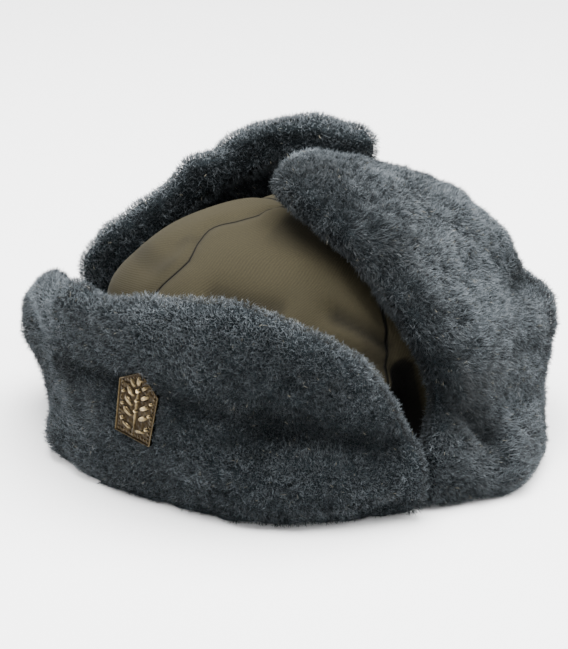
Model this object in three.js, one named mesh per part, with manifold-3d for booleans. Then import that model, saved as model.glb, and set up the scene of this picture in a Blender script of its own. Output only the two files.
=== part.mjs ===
// Winter cap with turned-up pile flaps. Millimetres, +Z up, front towards -Y, the wearer's left towards +X.
// A dome crown of four cloth gores stands inside a front flap, two ear flaps and a neck flap of deep pile.
import * as THREE from "three";
import { mergeVertices } from "three/addons/utils/BufferGeometryUtils.js";
import Module from "manifold-3d";

const wasm = await Module();
wasm.setup();

// Crown dome, at the cloth's outer face
const CROWN = { halfWidth: 98, halfLength: 99, height: 112, roundness: 2.5, cloth: 2.6, rim: 3 };
const SEAM = { gap: 0.4, dip: 1.6, dipWidth: 5, tip: 0.7 };

// Flaps: cloth backing against the crown, pile outside it
const BACKING = { cloth: 2, gap: 0.5, inset: 11, hemInset: 28 };
const FLAP_CLEAR = 2.9;
const PILE = { depth: 21, roll: 13, spine: 0.36, lock: 1.7, lockPitch: 27 };
// Where a flap stands away from the crown its pile also wraps over the edge, towards the crown
const HEM = { free: 6, share: 0.62, from: 3, full: 10, to: 27 };
const FOLD_BELOW_FLOOR = 2.5;

// Gore seams, each a path up the crown: turn is how far up from the rim, angle is from the front towards the
// wearer's left
const SEAMS = [
  [
    { turn: 0, angle: -22 },
    { turn: 46, angle: -20 },
    { turn: 58, angle: -18 },
    { turn: 61.5, angle: -22 },
    { turn: 64, angle: -29 },
    { turn: 67, angle: -37 },
    { turn: 71, angle: -40 },
    { turn: 80, angle: -48 },
    { turn: 90, angle: -58 },
  ],
  [
    { turn: 0, angle: 72 },
    { turn: 35, angle: 73.5 },
    { turn: 49, angle: 78 },
    { turn: 90, angle: 80 },
  ],
  [
    { turn: 0, angle: 155 },
    { turn: 50, angle: 152 },
    { turn: 90, angle: 156 },
  ],
  [
    { turn: 0, angle: 253 },
    { turn: 50, angle: 250 },
    { turn: 90, angle: 248 },
  ],
];
const GORE_ROWS = [12, 24, 35, 43, 50, 55, 59, 62, 65, 68, 71, 75, 79, 83.5];
const GORE_NAMES = ["crown_gore_front", "crown_gore_left", "crown_gore_rear", "crown_gore_right"];

// Soft dents and puffs in the crown cloth: where, how deep (out is positive) and how wide
const CROWN_FOLDS = [
  { angle: -56, height: 67, out: 9, wide: 30, tall: 18 },
  { angle: -70, height: 89, out: 3, wide: 30, tall: 12 },
  { angle: -36, height: 94, out: -2, wide: 10, tall: 7 },
  { angle: -6, height: 92, out: 1.4, wide: 24, tall: 14 },
  { angle: 22, height: 78, out: -1.8, wide: 30, tall: 6 },
  { angle: 52, height: 84, out: -2.2, wide: 8, tall: 16 },
  { angle: 66, height: 80, out: 1.2, wide: 8, tall: 14 },
  { angle: 80, height: 42, out: -8, wide: 10, tall: 20 },
  { angle: 120, height: 66, out: -2, wide: 20, tall: 12 },
  { angle: 205, height: 88, out: -2.2, wide: 24, tall: 10 },
];

// Front flap, a row for each station along it: height of its edge and how far that edge leans out
const FRONT_FLAP = [
  { angle: -70.5, height: 28, lean: 5 },
  { angle: -66, height: 58, lean: 14 },
  { angle: -56, height: 76, lean: 15 },
  { angle: -42, height: 86, lean: 11 },
  { angle: -24, height: 96, lean: 8 },
  { angle: -10, height: 101, lean: 5 },
  { angle: 2, height: 106, lean: 3 },
  { angle: 12, height: 110, lean: 2 },
  { angle: 22, height: 113, lean: 1 },
  { angle: 34, height: 112, lean: 0 },
  { angle: 45, height: 103, lean: 0 },
  { angle: 56, height: 92, lean: 1 },
  { angle: 62.5, height: 82, lean: 2 },
  { angle: 67.5, height: 67, lean: 2 },
  { angle: 71, height: 52, lean: 2 },
  { angle: 76.5, height: 27, lean: 2 },
];
// The front flap's left end is pressed flat where it meets the left ear flap: a point of that face, and its turn
// from a straight cross cut
const FRONT_FLAP_END = { x: 95, y: -30.95, turn: -13 };

// Ear flaps, a row for each section up the flap and over the crown. turn is the section's angle round the
// crown from the rim, front and rear are where its edges lie along Y, clearFront and clearRear how far it stands
// off the crown at each edge.
const LEFT_EAR = [
  { turn: -1.5, front: -29, rear: 84, clearFront: 3, clearRear: 3 },
  { turn: 14, front: -24, rear: 82, clearFront: 3, clearRear: 3 },
  { turn: 28, front: -16, rear: 80, clearFront: 4, clearRear: 3 },
  { turn: 38, front: -20, rear: 80, clearFront: 5, clearRear: 3 },
  { turn: 50, front: -25, rear: 79, clearFront: 6, clearRear: 3.5 },
  { turn: 62, front: -27, rear: 76, clearFront: 7, clearRear: 4 },
  { turn: 74, front: -28, rear: 66, clearFront: 8.5, clearRear: 3 },
  { turn: 84, front: -27, rear: 50, clearFront: 11.5, clearRear: 3 },
  { turn: 91, front: -20, rear: 36, clearFront: 13, clearRear: 3 },
  { turn: 95, front: -10, rear: 22, clearFront: 13, clearRear: 5 },
];
const RIGHT_EAR = [
  { turn: -1.5, front: -29, rear: 84, clearFront: 3, clearRear: 3 },
  { turn: 10, front: -31, rear: 82, clearFront: 12, clearRear: 3 },
  { turn: 20, front: -33, rear: 81, clearFront: 20, clearRear: 4 },
  { turn: 30, front: -31, rear: 80, clearFront: 21, clearRear: 6 },
  { turn: 40, front: -11, rear: 80, clearFront: 14, clearRear: 7 },
  { turn: 50, front: 3, rear: 80, clearFront: 13.5, clearRear: 8 },
  { turn: 60, front: 17, rear: 78, clearFront: 17, clearRear: 10 },
  { turn: 68, front: 30, rear: 76, clearFront: 21.5, clearRear: 12 },
  { turn: 76, front: 43, rear: 72, clearFront: 21, clearRear: 13 },
  { turn: 81, front: 51, rear: 68, clearFront: 20, clearRear: 13 },
];

// Neck flap, a row for each station round the back: length up the crown and how far its edge stands off
const NECK_FLAP = [
  { angle: 116, height: 66, lean: 2 },
  { angle: 135, height: 72, lean: 3 },
  { angle: 158, height: 80, lean: 4 },
  { angle: 180, height: 87, lean: 4 },
  { angle: 202, height: 88, lean: 5 },
  { angle: 225, height: 86, lean: 6 },
  { angle: 244, height: 78, lean: 5 },
];
const NECK_SEAM = { from: 128, to: 232, top: 92, kerf: 0.3, reach: 260 };

// Bulges and creases pressed into the pile
const PILE_FOLDS = [
  { angle: 136, height: 58, out: 11, wide: 24, tall: 17 },
  { angle: 114, height: 4, out: 9, wide: 20, tall: 16 },
  { angle: 91, height: 33, out: -5, wide: 15, tall: 8 },
  { angle: 114, height: 84, out: -4, wide: 26, tall: 10 },
  { angle: 225, height: 60, out: 7, wide: 24, tall: 16 },
  { angle: 249, height: 5, out: 6, wide: 22, tall: 20 },
  { angle: 270, height: 34, out: -4, wide: 16, tall: 9 },
  { angle: 40, height: 49, out: -6, wide: 46, tall: 10 },
  { angle: 2, height: 50, out: -3, wide: 22, tall: 22 },
  { angle: -16, height: 68, out: -4, wide: 20, tall: 8 },
  { angle: -54, height: 50, out: 11.5, wide: 23, tall: 19 },
  { angle: -36, height: 60, out: -4, wide: 10, tall: 20 },
  { angle: -32, height: 4, out: 2, wide: 20, tall: 12 },
  { angle: 14, height: 2, out: -6, wide: 26, tall: 14 },
  { angle: 96, height: 8, out: 11, wide: 20, tall: 17 },
  { angle: 56, height: 20, out: 3, wide: 30, tall: 20 },
];

// Badge pressed into the front flap's pile
const BADGE = {
  width: 24.5,
  height: 34.8,
  shoulder: 26.7,
  foot: 22,
  plate: 1.4,
  rimWidth: 1.1,
  rimRaise: 0.5,
  centreHeight: 50.8,
  sink: 1.4,
  angle: 5.4,
  leanBack: 3,
  twist: -8,
  postRadius: 1.6,
  postLength: 10,
  pocket: 0.35,
};
// Generic sprig on the badge: leaves and buds by place, size, angle and height of relief
const SPRIG = [
  { x: 0, y: 12.6, long: 2.8, wide: 1.5, turn: 90, raise: 1.3 },
  { x: -3.6, y: 10.2, long: 2.4, wide: 1.2, turn: 130, raise: 1.1 },
  { x: 3.6, y: 10.2, long: 2.4, wide: 1.2, turn: 50, raise: 1.1 },
  { x: -4.4, y: 5.6, long: 3, wide: 1.4, turn: 142, raise: 1.3 },
  { x: 4.4, y: 5.6, long: 3, wide: 1.4, turn: 38, raise: 1.3 },
  { x: -4.9, y: 0.4, long: 3.2, wide: 1.5, turn: 148, raise: 1.3 },
  { x: 4.9, y: 0.4, long: 3.2, wide: 1.5, turn: 32, raise: 1.3 },
  { x: -4.9, y: -5, long: 3.2, wide: 1.5, turn: 152, raise: 1.3 },
  { x: 4.9, y: -5, long: 3.2, wide: 1.5, turn: 28, raise: 1.3 },
  { x: 0, y: -2, long: 10.6, wide: 0.7, turn: 90, raise: 0.9 },
  { x: 0, y: 7.6, long: 1.5, wide: 1.5, turn: 0, raise: 1.6 },
  { x: 0, y: 2.4, long: 1.2, wide: 1.2, turn: 0, raise: 1.4 },
  { x: 0, y: -3, long: 1.2, wide: 1.2, turn: 0, raise: 1.4 },
  { x: -8.6, y: 4.2, long: 1.1, wide: 1.1, turn: 0, raise: 1.3 },
  { x: 8.6, y: 4.2, long: 1.1, wide: 1.1, turn: 0, raise: 1.3 },
  { x: -8.4, y: -2.2, long: 1.1, wide: 1.1, turn: 0, raise: 1.3 },
  { x: 8.4, y: -2.2, long: 1.1, wide: 1.1, turn: 0, raise: 1.3 },
  { x: -7.6, y: -9.6, long: 1.3, wide: 1.3, turn: 0, raise: 1.3 },
  { x: 7.6, y: -9.6, long: 1.3, wide: 1.3, turn: 0, raise: 1.3 },
  { x: -4.2, y: -12.2, long: 3.2, wide: 1, turn: 165, raise: 1.1 },
  { x: 4.2, y: -12.2, long: 3.2, wide: 1, turn: 15, raise: 1.1 },
];

const COLOURS = { cloth: 0x655f4c, backing: 0x4c4838, pile: 0x5a6064, brass: 0xa88a52 };

const radians = THREE.MathUtils.degToRad;

// Unit vector in plan at an angle from the front towards the wearer's left
function outward(angle) {
  return new THREE.Vector3(Math.sin(radians(angle)), -Math.cos(radians(angle)), 0);
}

// Value of one column of a table at a place along another, smoothly between the rows
function lookUp(rows, key, at, column) {
  const last = rows.length - 1;
  const place = THREE.MathUtils.clamp(at, rows[0][key], rows[last][key]);
  let i = 0;
  while (i < last - 1 && place > rows[i + 1][key]) i++;
  const span = rows[i + 1][key] - rows[i][key];
  const slope = (k) => {
    const before = Math.max(k - 1, 0);
    const after = Math.min(k + 1, last);
    return (rows[after][column] - rows[before][column]) / (rows[after][key] - rows[before][key]);
  };
  const t = (place - rows[i][key]) / span;
  const rise = t * t * (3 - 2 * t);
  return (
    rows[i][column] * (1 - rise) +
    rows[i + 1][column] * rise +
    span * (slope(i) * t * (1 - t) ** 2 - slope(i + 1) * t * t * (1 - t))
  );
}

// Zero on the dome grown by some distance, negative inside it
function domeLevel(p, grow) {
  const plan = Math.hypot(p.x / (CROWN.halfWidth + grow), p.y / (CROWN.halfLength + grow));
  const rise = Math.abs(p.z) / (CROWN.height + grow);
  return plan ** CROWN.roundness + rise ** CROWN.roundness - 1;
}

// Point where a ray from inside leaves the grown dome
function onDome(from, direction, grow) {
  let near = 0;
  let far = 2 * (CROWN.height + grow);
  for (let step = 0; step < 32; step++) {
    const middle = (near + far) / 2;
    if (domeLevel(from.clone().addScaledVector(direction, middle), grow) < 0) near = middle;
    else far = middle;
  }
  return from.clone().addScaledVector(direction, near);
}

function domeNormal(p) {
  const step = 0.05;
  const slope = (axis) => {
    const a = p.clone();
    const b = p.clone();
    a[axis] += step;
    b[axis] -= step;
    return domeLevel(a, 0) - domeLevel(b, 0);
  };
  return new THREE.Vector3(slope("x"), slope("y"), slope("z")).normalize();
}

// Sum of soft bumps and dents at a point
function foldsAt(folds, p) {
  const angle = THREE.MathUtils.radToDeg(Math.atan2(p.x, -p.y));
  const radius = Math.hypot(p.x, p.y);
  return folds.reduce((sum, fold) => {
    const turn = THREE.MathUtils.euclideanModulo(angle - fold.angle + 180, 360) - 180;
    const aside = (radians(turn) * radius) / fold.wide;
    const above = (p.z - fold.height) / fold.tall;
    return sum + fold.out * Math.exp(-aside * aside - above * above);
  }, 0);
}

// Clumped locks of the pile as a soft relief
function locksAt(p) {
  const k = (2 * Math.PI) / PILE.lockPitch;
  const swirl = Math.sin(0.55 * k * p.x + 0.4 * k * p.z) + Math.sin(0.5 * k * p.y - 0.45 * k * p.z);
  const rows = Math.sin(k * p.z + 1.3 * swirl) * Math.cos(k * (p.x + p.y) * 0.8 + 1.1 * swirl);
  return PILE.lock * (rows + 0.5 * swirl);
}

function geometryOf(points, faces) {
  const geometry = new THREE.BufferGeometry().setFromPoints(points);
  geometry.setIndex(faces.flat());
  geometry.computeVertexNormals();
  return geometry;
}

function solidOf(geometry) {
  const bare = geometry.clone();
  bare.deleteAttribute("normal");
  bare.deleteAttribute("uv");
  const merged = mergeVertices(bare, 1e-4);
  const vertProperties = merged.attributes.position.array;
  return new wasm.Manifold(new wasm.Mesh({ numProp: 3, vertProperties, triVerts: new Uint32Array(merged.index.array) }));
}

function geometryFrom(solid) {
  const mesh = solid.getMesh();
  const points = [];
  for (let i = 0; i < mesh.numVert; i++) {
    points.push(new THREE.Vector3().fromArray(mesh.vertProperties, i * mesh.numProp));
  }
  return geometryOf(points, [Array.from(mesh.triVerts)]);
}

// Fractions along an edge: close together where the pile rolls over, even between
function stations(count, length, roll) {
  const ends = [0, 0.12, 0.45, 1].map((share) => (share * roll) / length);
  const middle = [];
  const first = ends[ends.length - 1];
  for (let i = 1; i < count; i++) middle.push(first + ((1 - 2 * first) * i) / count);
  return [...ends, ...middle, ...ends.map((end) => 1 - end).reverse()];
}

function evenStations(count) {
  return Array.from({ length: count + 1 }, (_, i) => i / count);
}

// Rounded edge: 0 at the edge, 1 past the roll
function roundEdge(distance, roll) {
  const left = 1 - Math.min(distance / roll, 1);
  return Math.sqrt(1 - left * left);
}

// Outward normal of a sheet(u, v)
function sheetNormal(sheet, u, v) {
  const step = 0.004;
  const across = sheet(Math.min(u + step, 1), v).sub(sheet(Math.max(u - step, 0), v));
  const up = sheet(u, Math.min(v + step, 1)).sub(sheet(u, Math.max(v - step, 0)));
  return across.cross(up).normalize();
}

// Distance of each grid point to the nearer of two opposite edges, along the grid lines
function edgeDistances(grid, columns, rows) {
  const line = (count, at) => {
    const run = [0];
    for (let i = 1; i < count; i++) run.push(run[i - 1] + at(i).distanceTo(at(i - 1)));
    return run.map((length) => Math.min(length, run[count - 1] - length));
  };
  const across = rows.map((_, j) => line(columns.length, (i) => grid[i][j]));
  const up = columns.map((_, i) => line(rows.length, (j) => grid[i][j]));
  return (i, j) => [across[j][i], up[i][j]];
}

// Closed skin over a grid: an outer and an inner face that share their border
function skinGeometry(columns, rows, outer, inner) {
  const points = [];
  const add = (p) => points.push(p) - 1;
  const outerIndex = columns.map((_, i) => rows.map((_, j) => add(outer(i, j))));
  const border = (i, j) => i === 0 || j === 0 || i === columns.length - 1 || j === rows.length - 1;
  const innerIndex = columns.map((_, i) => rows.map((_, j) => (border(i, j) ? outerIndex[i][j] : add(inner(i, j)))));
  const faces = [];
  for (let i = 0; i + 1 < columns.length; i++) {
    for (let j = 0; j + 1 < rows.length; j++) {
      const corners = (index) => [index[i][j], index[i + 1][j], index[i + 1][j + 1], index[i][j + 1]];
      const [a, b, c, d] = corners(outerIndex);
      const [e, f, g, h] = corners(innerIndex);
      faces.push([a, b, c], [a, c, d], [e, g, f], [e, h, g]);
    }
  }
  return geometryOf(points, faces);
}

// Share of the hem's depth at a distance from the flap's edge
function hemShare(distance) {
  const rise = THREE.MathUtils.smoothstep(distance, HEM.from, HEM.full);
  return rise * (1 - THREE.MathUtils.smoothstep(distance, HEM.full, HEM.to));
}

// Pile pad on a sheet: rises from the backing, rolls over at its edges, and carries the folds and locks.
// clear gives the sheet's distance from the crown, where that leaves room for a hem.
function pileGeometry(sheet, acrossCount, upCount, clear = () => 0) {
  const width = sheet(0, 0.4).distanceTo(sheet(0.5, 0.4)) + sheet(0.5, 0.4).distanceTo(sheet(1, 0.4));
  const height = sheet(0.5, 0).distanceTo(sheet(0.5, 0.5)) + sheet(0.5, 0.5).distanceTo(sheet(0.5, 1));
  const columns = stations(acrossCount, width, PILE.roll);
  const rows = stations(upCount, height, PILE.roll);
  const grid = columns.map((u) => rows.map((v) => sheet(u, v)));
  const normals = columns.map((u) => rows.map((v) => sheetNormal(sheet, u, v)));
  const distances = edgeDistances(grid, columns, rows);
  const spine = PILE.depth * PILE.spine;
  const fullness = (i, j) => distances(i, j).reduce((share, d) => share * roundEdge(d, PILE.roll), 1);
  const outer = (i, j) => {
    const p = grid[i][j];
    const full = PILE.depth + foldsAt(PILE_FOLDS, p) + locksAt(p);
    return p.clone().addScaledVector(normals[i][j], spine + (full - spine) * fullness(i, j));
  };
  const inner = (i, j) => {
    const room = Math.max(0, clear(columns[i], rows[j]) - HEM.free) * THREE.MathUtils.smoothstep(rows[j], 0.1, 0.3);
    const hem = HEM.share * room * hemShare(Math.min(...distances(i, j)));
    return grid[i][j].clone().addScaledVector(normals[i][j], spine * (1 - fullness(i, j)) - hem);
  };
  return skinGeometry(columns, rows, outer, inner);
}

// Cloth backing on the sheet's inner side. insets are how far it stays inside the sheet's edges: where u starts,
// where u ends, at the fold and at the top.
function backingGeometry(sheet, acrossCount, upCount, insets) {
  const width = sheet(0, 0.4).distanceTo(sheet(0.5, 0.4)) + sheet(0.5, 0.4).distanceTo(sheet(1, 0.4));
  const height = sheet(0.5, 0).distanceTo(sheet(0.5, 0.5)) + sheet(0.5, 0.5).distanceTo(sheet(0.5, 1));
  const [atStart, atEnd, atFold, atTop] = insets;
  const columns = evenStations(acrossCount).map((share) => THREE.MathUtils.lerp(atStart / width, 1 - atEnd / width, share));
  const rows = evenStations(upCount).map((share) => THREE.MathUtils.lerp(atFold / height, 1 - atTop / height, share));
  const at = (i, j, depth) => {
    const normal = sheetNormal(sheet, columns[i], rows[j]);
    return sheet(columns[i], rows[j]).addScaledVector(normal, -depth);
  };
  const border = (i, j) => i === 0 || j === 0 || i === columns.length - 1 || j === rows.length - 1;
  const middle = BACKING.gap + BACKING.cloth / 2;
  const outer = (i, j) => at(i, j, border(i, j) ? middle : BACKING.gap);
  return skinGeometry(columns, rows, outer, (i, j) => at(i, j, BACKING.gap + BACKING.cloth));
}

// Side of the cap that faces the floor is pressed flat by the cap's weight
function aboveFloor(solid) {
  const reach = 400;
  const below = new THREE.BoxGeometry(reach, reach, reach).translate(0, 0, -reach / 2);
  return solid.subtract(solidOf(below));
}

// Room that the left ear flap leaves beside the front flap
function besideLeftEar() {
  const reach = 200;
  const room = new THREE.BoxGeometry(reach, reach, 2 * reach).translate(0, reach / 2, 0);
  return solidOf(room.rotateZ(radians(FRONT_FLAP_END.turn)).translate(FRONT_FLAP_END.x, FRONT_FLAP_END.y, 0));
}

function frontSheet(u, v) {
  const first = FRONT_FLAP[0].angle;
  const angle = first + u * (FRONT_FLAP[FRONT_FLAP.length - 1].angle - first);
  const height = lookUp(FRONT_FLAP, "angle", angle, "height");
  const lean = lookUp(FRONT_FLAP, "angle", angle, "lean");
  const out = onDome(new THREE.Vector3(), outward(angle), FLAP_CLEAR).length() + lean * v ** 1.4;
  return outward(angle)
    .multiplyScalar(out)
    .setZ(v * height - FOLD_BELOW_FLOOR);
}

// Distance of an ear flap from the crown. side is 1 for the wearer's left and -1 for the right.
function earClear(table, side, u, v) {
  const turn = THREE.MathUtils.lerp(table[0].turn, table[table.length - 1].turn, v);
  const share = side > 0 ? u : 1 - u;
  return THREE.MathUtils.lerp(lookUp(table, "turn", turn, "clearFront"), lookUp(table, "turn", turn, "clearRear"), share);
}

// u runs the way that puts the pile outside
function earSheet(table, side) {
  return (u, v) => {
    const turn = THREE.MathUtils.lerp(table[0].turn, table[table.length - 1].turn, v);
    const share = side > 0 ? u : 1 - u;
    const y = THREE.MathUtils.lerp(lookUp(table, "turn", turn, "front"), lookUp(table, "turn", turn, "rear"), share);
    const direction = new THREE.Vector3(side * Math.cos(radians(turn)), 0, Math.sin(radians(turn)));
    return onDome(new THREE.Vector3(0, y, 0), direction, earClear(table, side, u, v));
  };
}

function neckSheet(u, v) {
  const first = NECK_FLAP[0].angle;
  const angle = first + u * (NECK_FLAP[NECK_FLAP.length - 1].angle - first);
  const height = lookUp(NECK_FLAP, "angle", angle, "height");
  const lean = lookUp(NECK_FLAP, "angle", angle, "lean");
  const z = v * height - FOLD_BELOW_FLOOR;
  const turn = Math.atan2(z, CROWN.halfWidth);
  const direction = outward(angle)
    .multiplyScalar(Math.cos(turn))
    .setZ(Math.sin(turn));
  return onDome(new THREE.Vector3(), direction, FLAP_CLEAR + lean * v * v);
}

// Sector of a cylinder round the crown's axis, between two angles, from below the floor to a height
function sector(from, to, top) {
  const shape = new THREE.Shape();
  shape.moveTo(0, 0);
  for (let step = 0; step <= 4; step++) {
    const edge = outward(from + ((to - from) * step) / 4).multiplyScalar(NECK_SEAM.reach);
    shape.lineTo(edge.x, edge.y);
  }
  const below = 20;
  const block = new THREE.ExtrudeGeometry(shape, { depth: top + below, bevelEnabled: false });
  return solidOf(block.translate(0, 0, -below));
}

// Ear and neck flaps are one apron of pile, cut at the two seams behind the ears
function apronPieces() {
  const left = solidOf(pileGeometry(earSheet(LEFT_EAR, 1), 9, 17, (u, v) => earClear(LEFT_EAR, 1, u, v)));
  const right = solidOf(pileGeometry(earSheet(RIGHT_EAR, -1), 9, 15, (u, v) => earClear(RIGHT_EAR, -1, u, v)));
  const neck = solidOf(pileGeometry(neckSheet, 15, 7));
  const apron = aboveFloor(left.add(right).add(neck));
  const half = NECK_SEAM.kerf / 2;
  const kerfAngle = THREE.MathUtils.radToDeg(half / CROWN.halfWidth);
  const inside = sector(NECK_SEAM.from + kerfAngle, NECK_SEAM.to - kerfAngle, NECK_SEAM.top - half);
  const outside = sector(NECK_SEAM.from - kerfAngle, NECK_SEAM.to + kerfAngle, NECK_SEAM.top + half);
  return { neck: apron.intersect(inside), ears: apron.subtract(outside).decompose() };
}

// One gore of the crown between two seams: a cloth wall that dips into each seam. wrap is added to the second
// seam's angle.
function goreGeometry(fromSeam, toSeam, wrap, acrossCount) {
  const columns = evenStations(acrossCount).map((share) => share - 0.07 * Math.sin(2 * Math.PI * share));
  const lowest = THREE.MathUtils.radToDeg(Math.asin(CROWN.rim / CROWN.halfWidth));
  const highest = 90 - THREE.MathUtils.radToDeg(Math.asin(SEAM.tip / CROWN.height));
  const rows = [lowest, ...GORE_ROWS, highest];
  const at = (i, j, inside) => {
    const turn = rows[j];
    const radius = CROWN.halfWidth * Math.cos(radians(turn));
    const halfGap = THREE.MathUtils.radToDeg(SEAM.gap / 2 / Math.max(radius, 1));
    const start = lookUp(fromSeam, "turn", turn, "angle") + halfGap;
    const end = lookUp(toSeam, "turn", turn, "angle") + wrap - halfGap;
    const angle = start + columns[i] * (end - start);
    const direction = outward(angle)
      .multiplyScalar(Math.cos(radians(turn)))
      .setZ(Math.sin(radians(turn)));
    const p = onDome(new THREE.Vector3(), direction, 0);
    const toEdge = radians(Math.min(angle - start, end - angle)) * radius;
    const apart = Math.exp(-((toEdge / SEAM.dipWidth) ** 2));
    const free = Math.min(1, radius / 20) * Math.min(1, p.z / 40);
    const out = (foldsAt(CROWN_FOLDS, p) - SEAM.dip * apart) * free;
    return p.addScaledVector(domeNormal(p), out - (inside ? CROWN.cloth : 0));
  };
  const points = [];
  const index = (inside) => columns.map((_, i) => rows.map((_, j) => points.push(at(i, j, inside)) - 1));
  const outer = index(false);
  const inner = index(true);
  const faces = [];
  const quad = (a, b, c, d) => faces.push([a, b, c], [a, c, d]);
  const lastColumn = columns.length - 1;
  const lastRow = rows.length - 1;
  for (let i = 0; i < lastColumn; i++) {
    for (let j = 0; j < lastRow; j++) {
      quad(outer[i][j], outer[i + 1][j], outer[i + 1][j + 1], outer[i][j + 1]);
      quad(inner[i][j], inner[i][j + 1], inner[i + 1][j + 1], inner[i + 1][j]);
    }
    quad(inner[i][0], inner[i + 1][0], outer[i + 1][0], outer[i][0]);
    quad(outer[i][lastRow], outer[i + 1][lastRow], inner[i + 1][lastRow], inner[i][lastRow]);
  }
  for (let j = 0; j < lastRow; j++) {
    quad(inner[0][j], outer[0][j], outer[0][j + 1], inner[0][j + 1]);
    quad(outer[lastColumn][j], inner[lastColumn][j], inner[lastColumn][j + 1], outer[lastColumn][j + 1]);
  }
  return geometryOf(points, faces);
}

// Outline of the badge, grown by some distance: straight foot, upright sides and a low gable
function badgeOutline(grow) {
  const half = BADGE.width / 2 + grow;
  const foot = -BADGE.height / 2 - grow;
  const corners = [
    [-BADGE.foot / 2 - grow, foot],
    [BADGE.foot / 2 + grow, foot],
    [half, foot + BADGE.shoulder + grow],
    [0, BADGE.height / 2 + grow],
    [-half, foot + BADGE.shoulder + grow],
  ];
  return new THREE.Shape(corners.map(([x, y]) => new THREE.Vector2(x, y)));
}

// Plate with a raised rim, a sprig in relief and a fastening post behind. Face towards +Z, built round the origin.
function badgeSolid() {
  const slab = (grow, depth, z) =>
    solidOf(new THREE.ExtrudeGeometry(badgeOutline(grow), { depth, bevelEnabled: false }).translate(0, 0, z));
  const plate = slab(0, BADGE.plate + BADGE.rimRaise, 0);
  const field = slab(-BADGE.rimWidth, BADGE.rimRaise + 1, BADGE.plate);
  const relief = SPRIG.map((leaf) =>
    solidOf(
      new THREE.SphereGeometry(1, 8, 5)
        .rotateX(Math.PI / 2)
        .scale(leaf.long, leaf.wide, leaf.raise)
        .rotateZ(radians(leaf.turn))
        .translate(leaf.x, leaf.y, BADGE.plate),
    ),
  );
  const post = new THREE.CylinderGeometry(BADGE.postRadius, BADGE.postRadius, BADGE.postLength, 12)
    .rotateX(Math.PI / 2)
    .translate(0, 0, 0.5 - BADGE.postLength / 2);
  const bare = relief.reduce((whole, leaf) => whole.add(leaf), plate.subtract(field));
  const under = solidOf(new THREE.BoxGeometry(60, 60, 20).translate(0, 0, -10));
  return bare.subtract(under).add(solidOf(post));
}

// Room for the badge and its post in the pile
function badgePocket() {
  const room = BADGE.pocket;
  const face = new THREE.ExtrudeGeometry(badgeOutline(room), { depth: 40, bevelEnabled: false });
  const radius = BADGE.postRadius + room;
  const post = new THREE.CylinderGeometry(radius, radius, BADGE.postLength + 2 * room, 12)
    .rotateX(Math.PI / 2)
    .translate(0, 0, 0.5 - BADGE.postLength / 2);
  return solidOf(face.translate(0, 0, -room)).add(solidOf(post));
}

// Matrix that carries the badge to its place on the front flap
function badgePlace() {
  const away = outward(BADGE.angle);
  const out = CROWN.halfLength + FLAP_CLEAR + PILE.depth + foldsAt(PILE_FOLDS, away.clone().multiplyScalar(CROWN.halfLength).setZ(BADGE.centreHeight));
  const place = new THREE.Object3D();
  place.up.set(0, 0, 1);
  place.position.copy(away.clone().multiplyScalar(out - BADGE.sink).setZ(BADGE.centreHeight));
  place.lookAt(away.clone().multiplyScalar(2 * out).setZ(BADGE.centreHeight + Math.tan(radians(BADGE.leanBack)) * out));
  place.rotateZ(radians(BADGE.twist));
  place.updateMatrix();
  return place.matrix;
}

const finishes = {
  cloth: () => new THREE.MeshStandardMaterial({ color: COLOURS.cloth, roughness: 0.9, metalness: 0 }),
  backing: () => new THREE.MeshStandardMaterial({ color: COLOURS.backing, roughness: 0.95, metalness: 0 }),
  pile: () => new THREE.MeshStandardMaterial({ color: COLOURS.pile, roughness: 1, metalness: 0 }),
  brass: () => new THREE.MeshStandardMaterial({ color: COLOURS.brass, roughness: 0.35, metalness: 1 }),
};

const cap = new THREE.Group();
function addPiece(name, geometry, finish) {
  const mesh = new THREE.Mesh(geometry, finishes[finish]());
  mesh.name = name;
  cap.add(mesh);
  return mesh;
}

GORE_NAMES.forEach((name, k) => {
  const isLast = k + 1 === SEAMS.length;
  addPiece(name, goreGeometry(SEAMS[k], SEAMS[isLast ? 0 : k + 1], isLast ? 360 : 0, 10), "cloth");
});

const place = badgePlace();
const frontPile = aboveFloor(solidOf(pileGeometry(frontSheet, 26, 6))).subtract(besideLeftEar());
addPiece("front_flap_pile", geometryFrom(frontPile.subtract(solidOf(geometryFrom(badgePocket()).applyMatrix4(place)))), "pile");
const { inset, hemInset } = BACKING;
addPiece("front_flap_backing", backingGeometry(frontSheet, 22, 5, [inset, 16, 5, inset]), "backing");

const apron = apronPieces();
apron.ears.forEach((ear) => {
  const box = ear.boundingBox();
  const side = box.min[0] + box.max[0] > 0 ? "left" : "right";
  addPiece("ear_flap_" + side + "_pile", geometryFrom(ear), "pile");
});
addPiece("neck_flap_pile", geometryFrom(apron.neck), "pile");
const byNeck = 30;
addPiece("ear_flap_left_backing", backingGeometry(earSheet(LEFT_EAR, 1), 7, 9, [hemInset, byNeck, inset, 60]), "backing");
addPiece("ear_flap_right_backing", backingGeometry(earSheet(RIGHT_EAR, -1), 7, 9, [52, 36, inset, 76]), "backing");
addPiece("neck_flap_backing", backingGeometry(neckSheet, 12, 4, [38, 38, inset, inset]), "backing");

const badge = addPiece("badge", geometryFrom(badgeSolid()), "brass");
badge.applyMatrix4(place);

// The group stands with its bounding box centred over the origin
const bounds = new THREE.Box3().setFromObject(cap);
const centre = bounds.getCenter(new THREE.Vector3());
cap.position.set(-centre.x, -centre.y, -bounds.min.z);

export default cap;
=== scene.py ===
"""Looks of a winter cap with turned-up pile flaps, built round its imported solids.

Sizes are in millimetres round the crown's own axis, as the solids were drawn, unless a name or comment says
otherwise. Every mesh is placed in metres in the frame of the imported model.
"""

import logging
import math
from dataclasses import dataclass
from enum import Enum

import bmesh
import bpy
import numpy as np
from mathutils import Matrix, Vector

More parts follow.
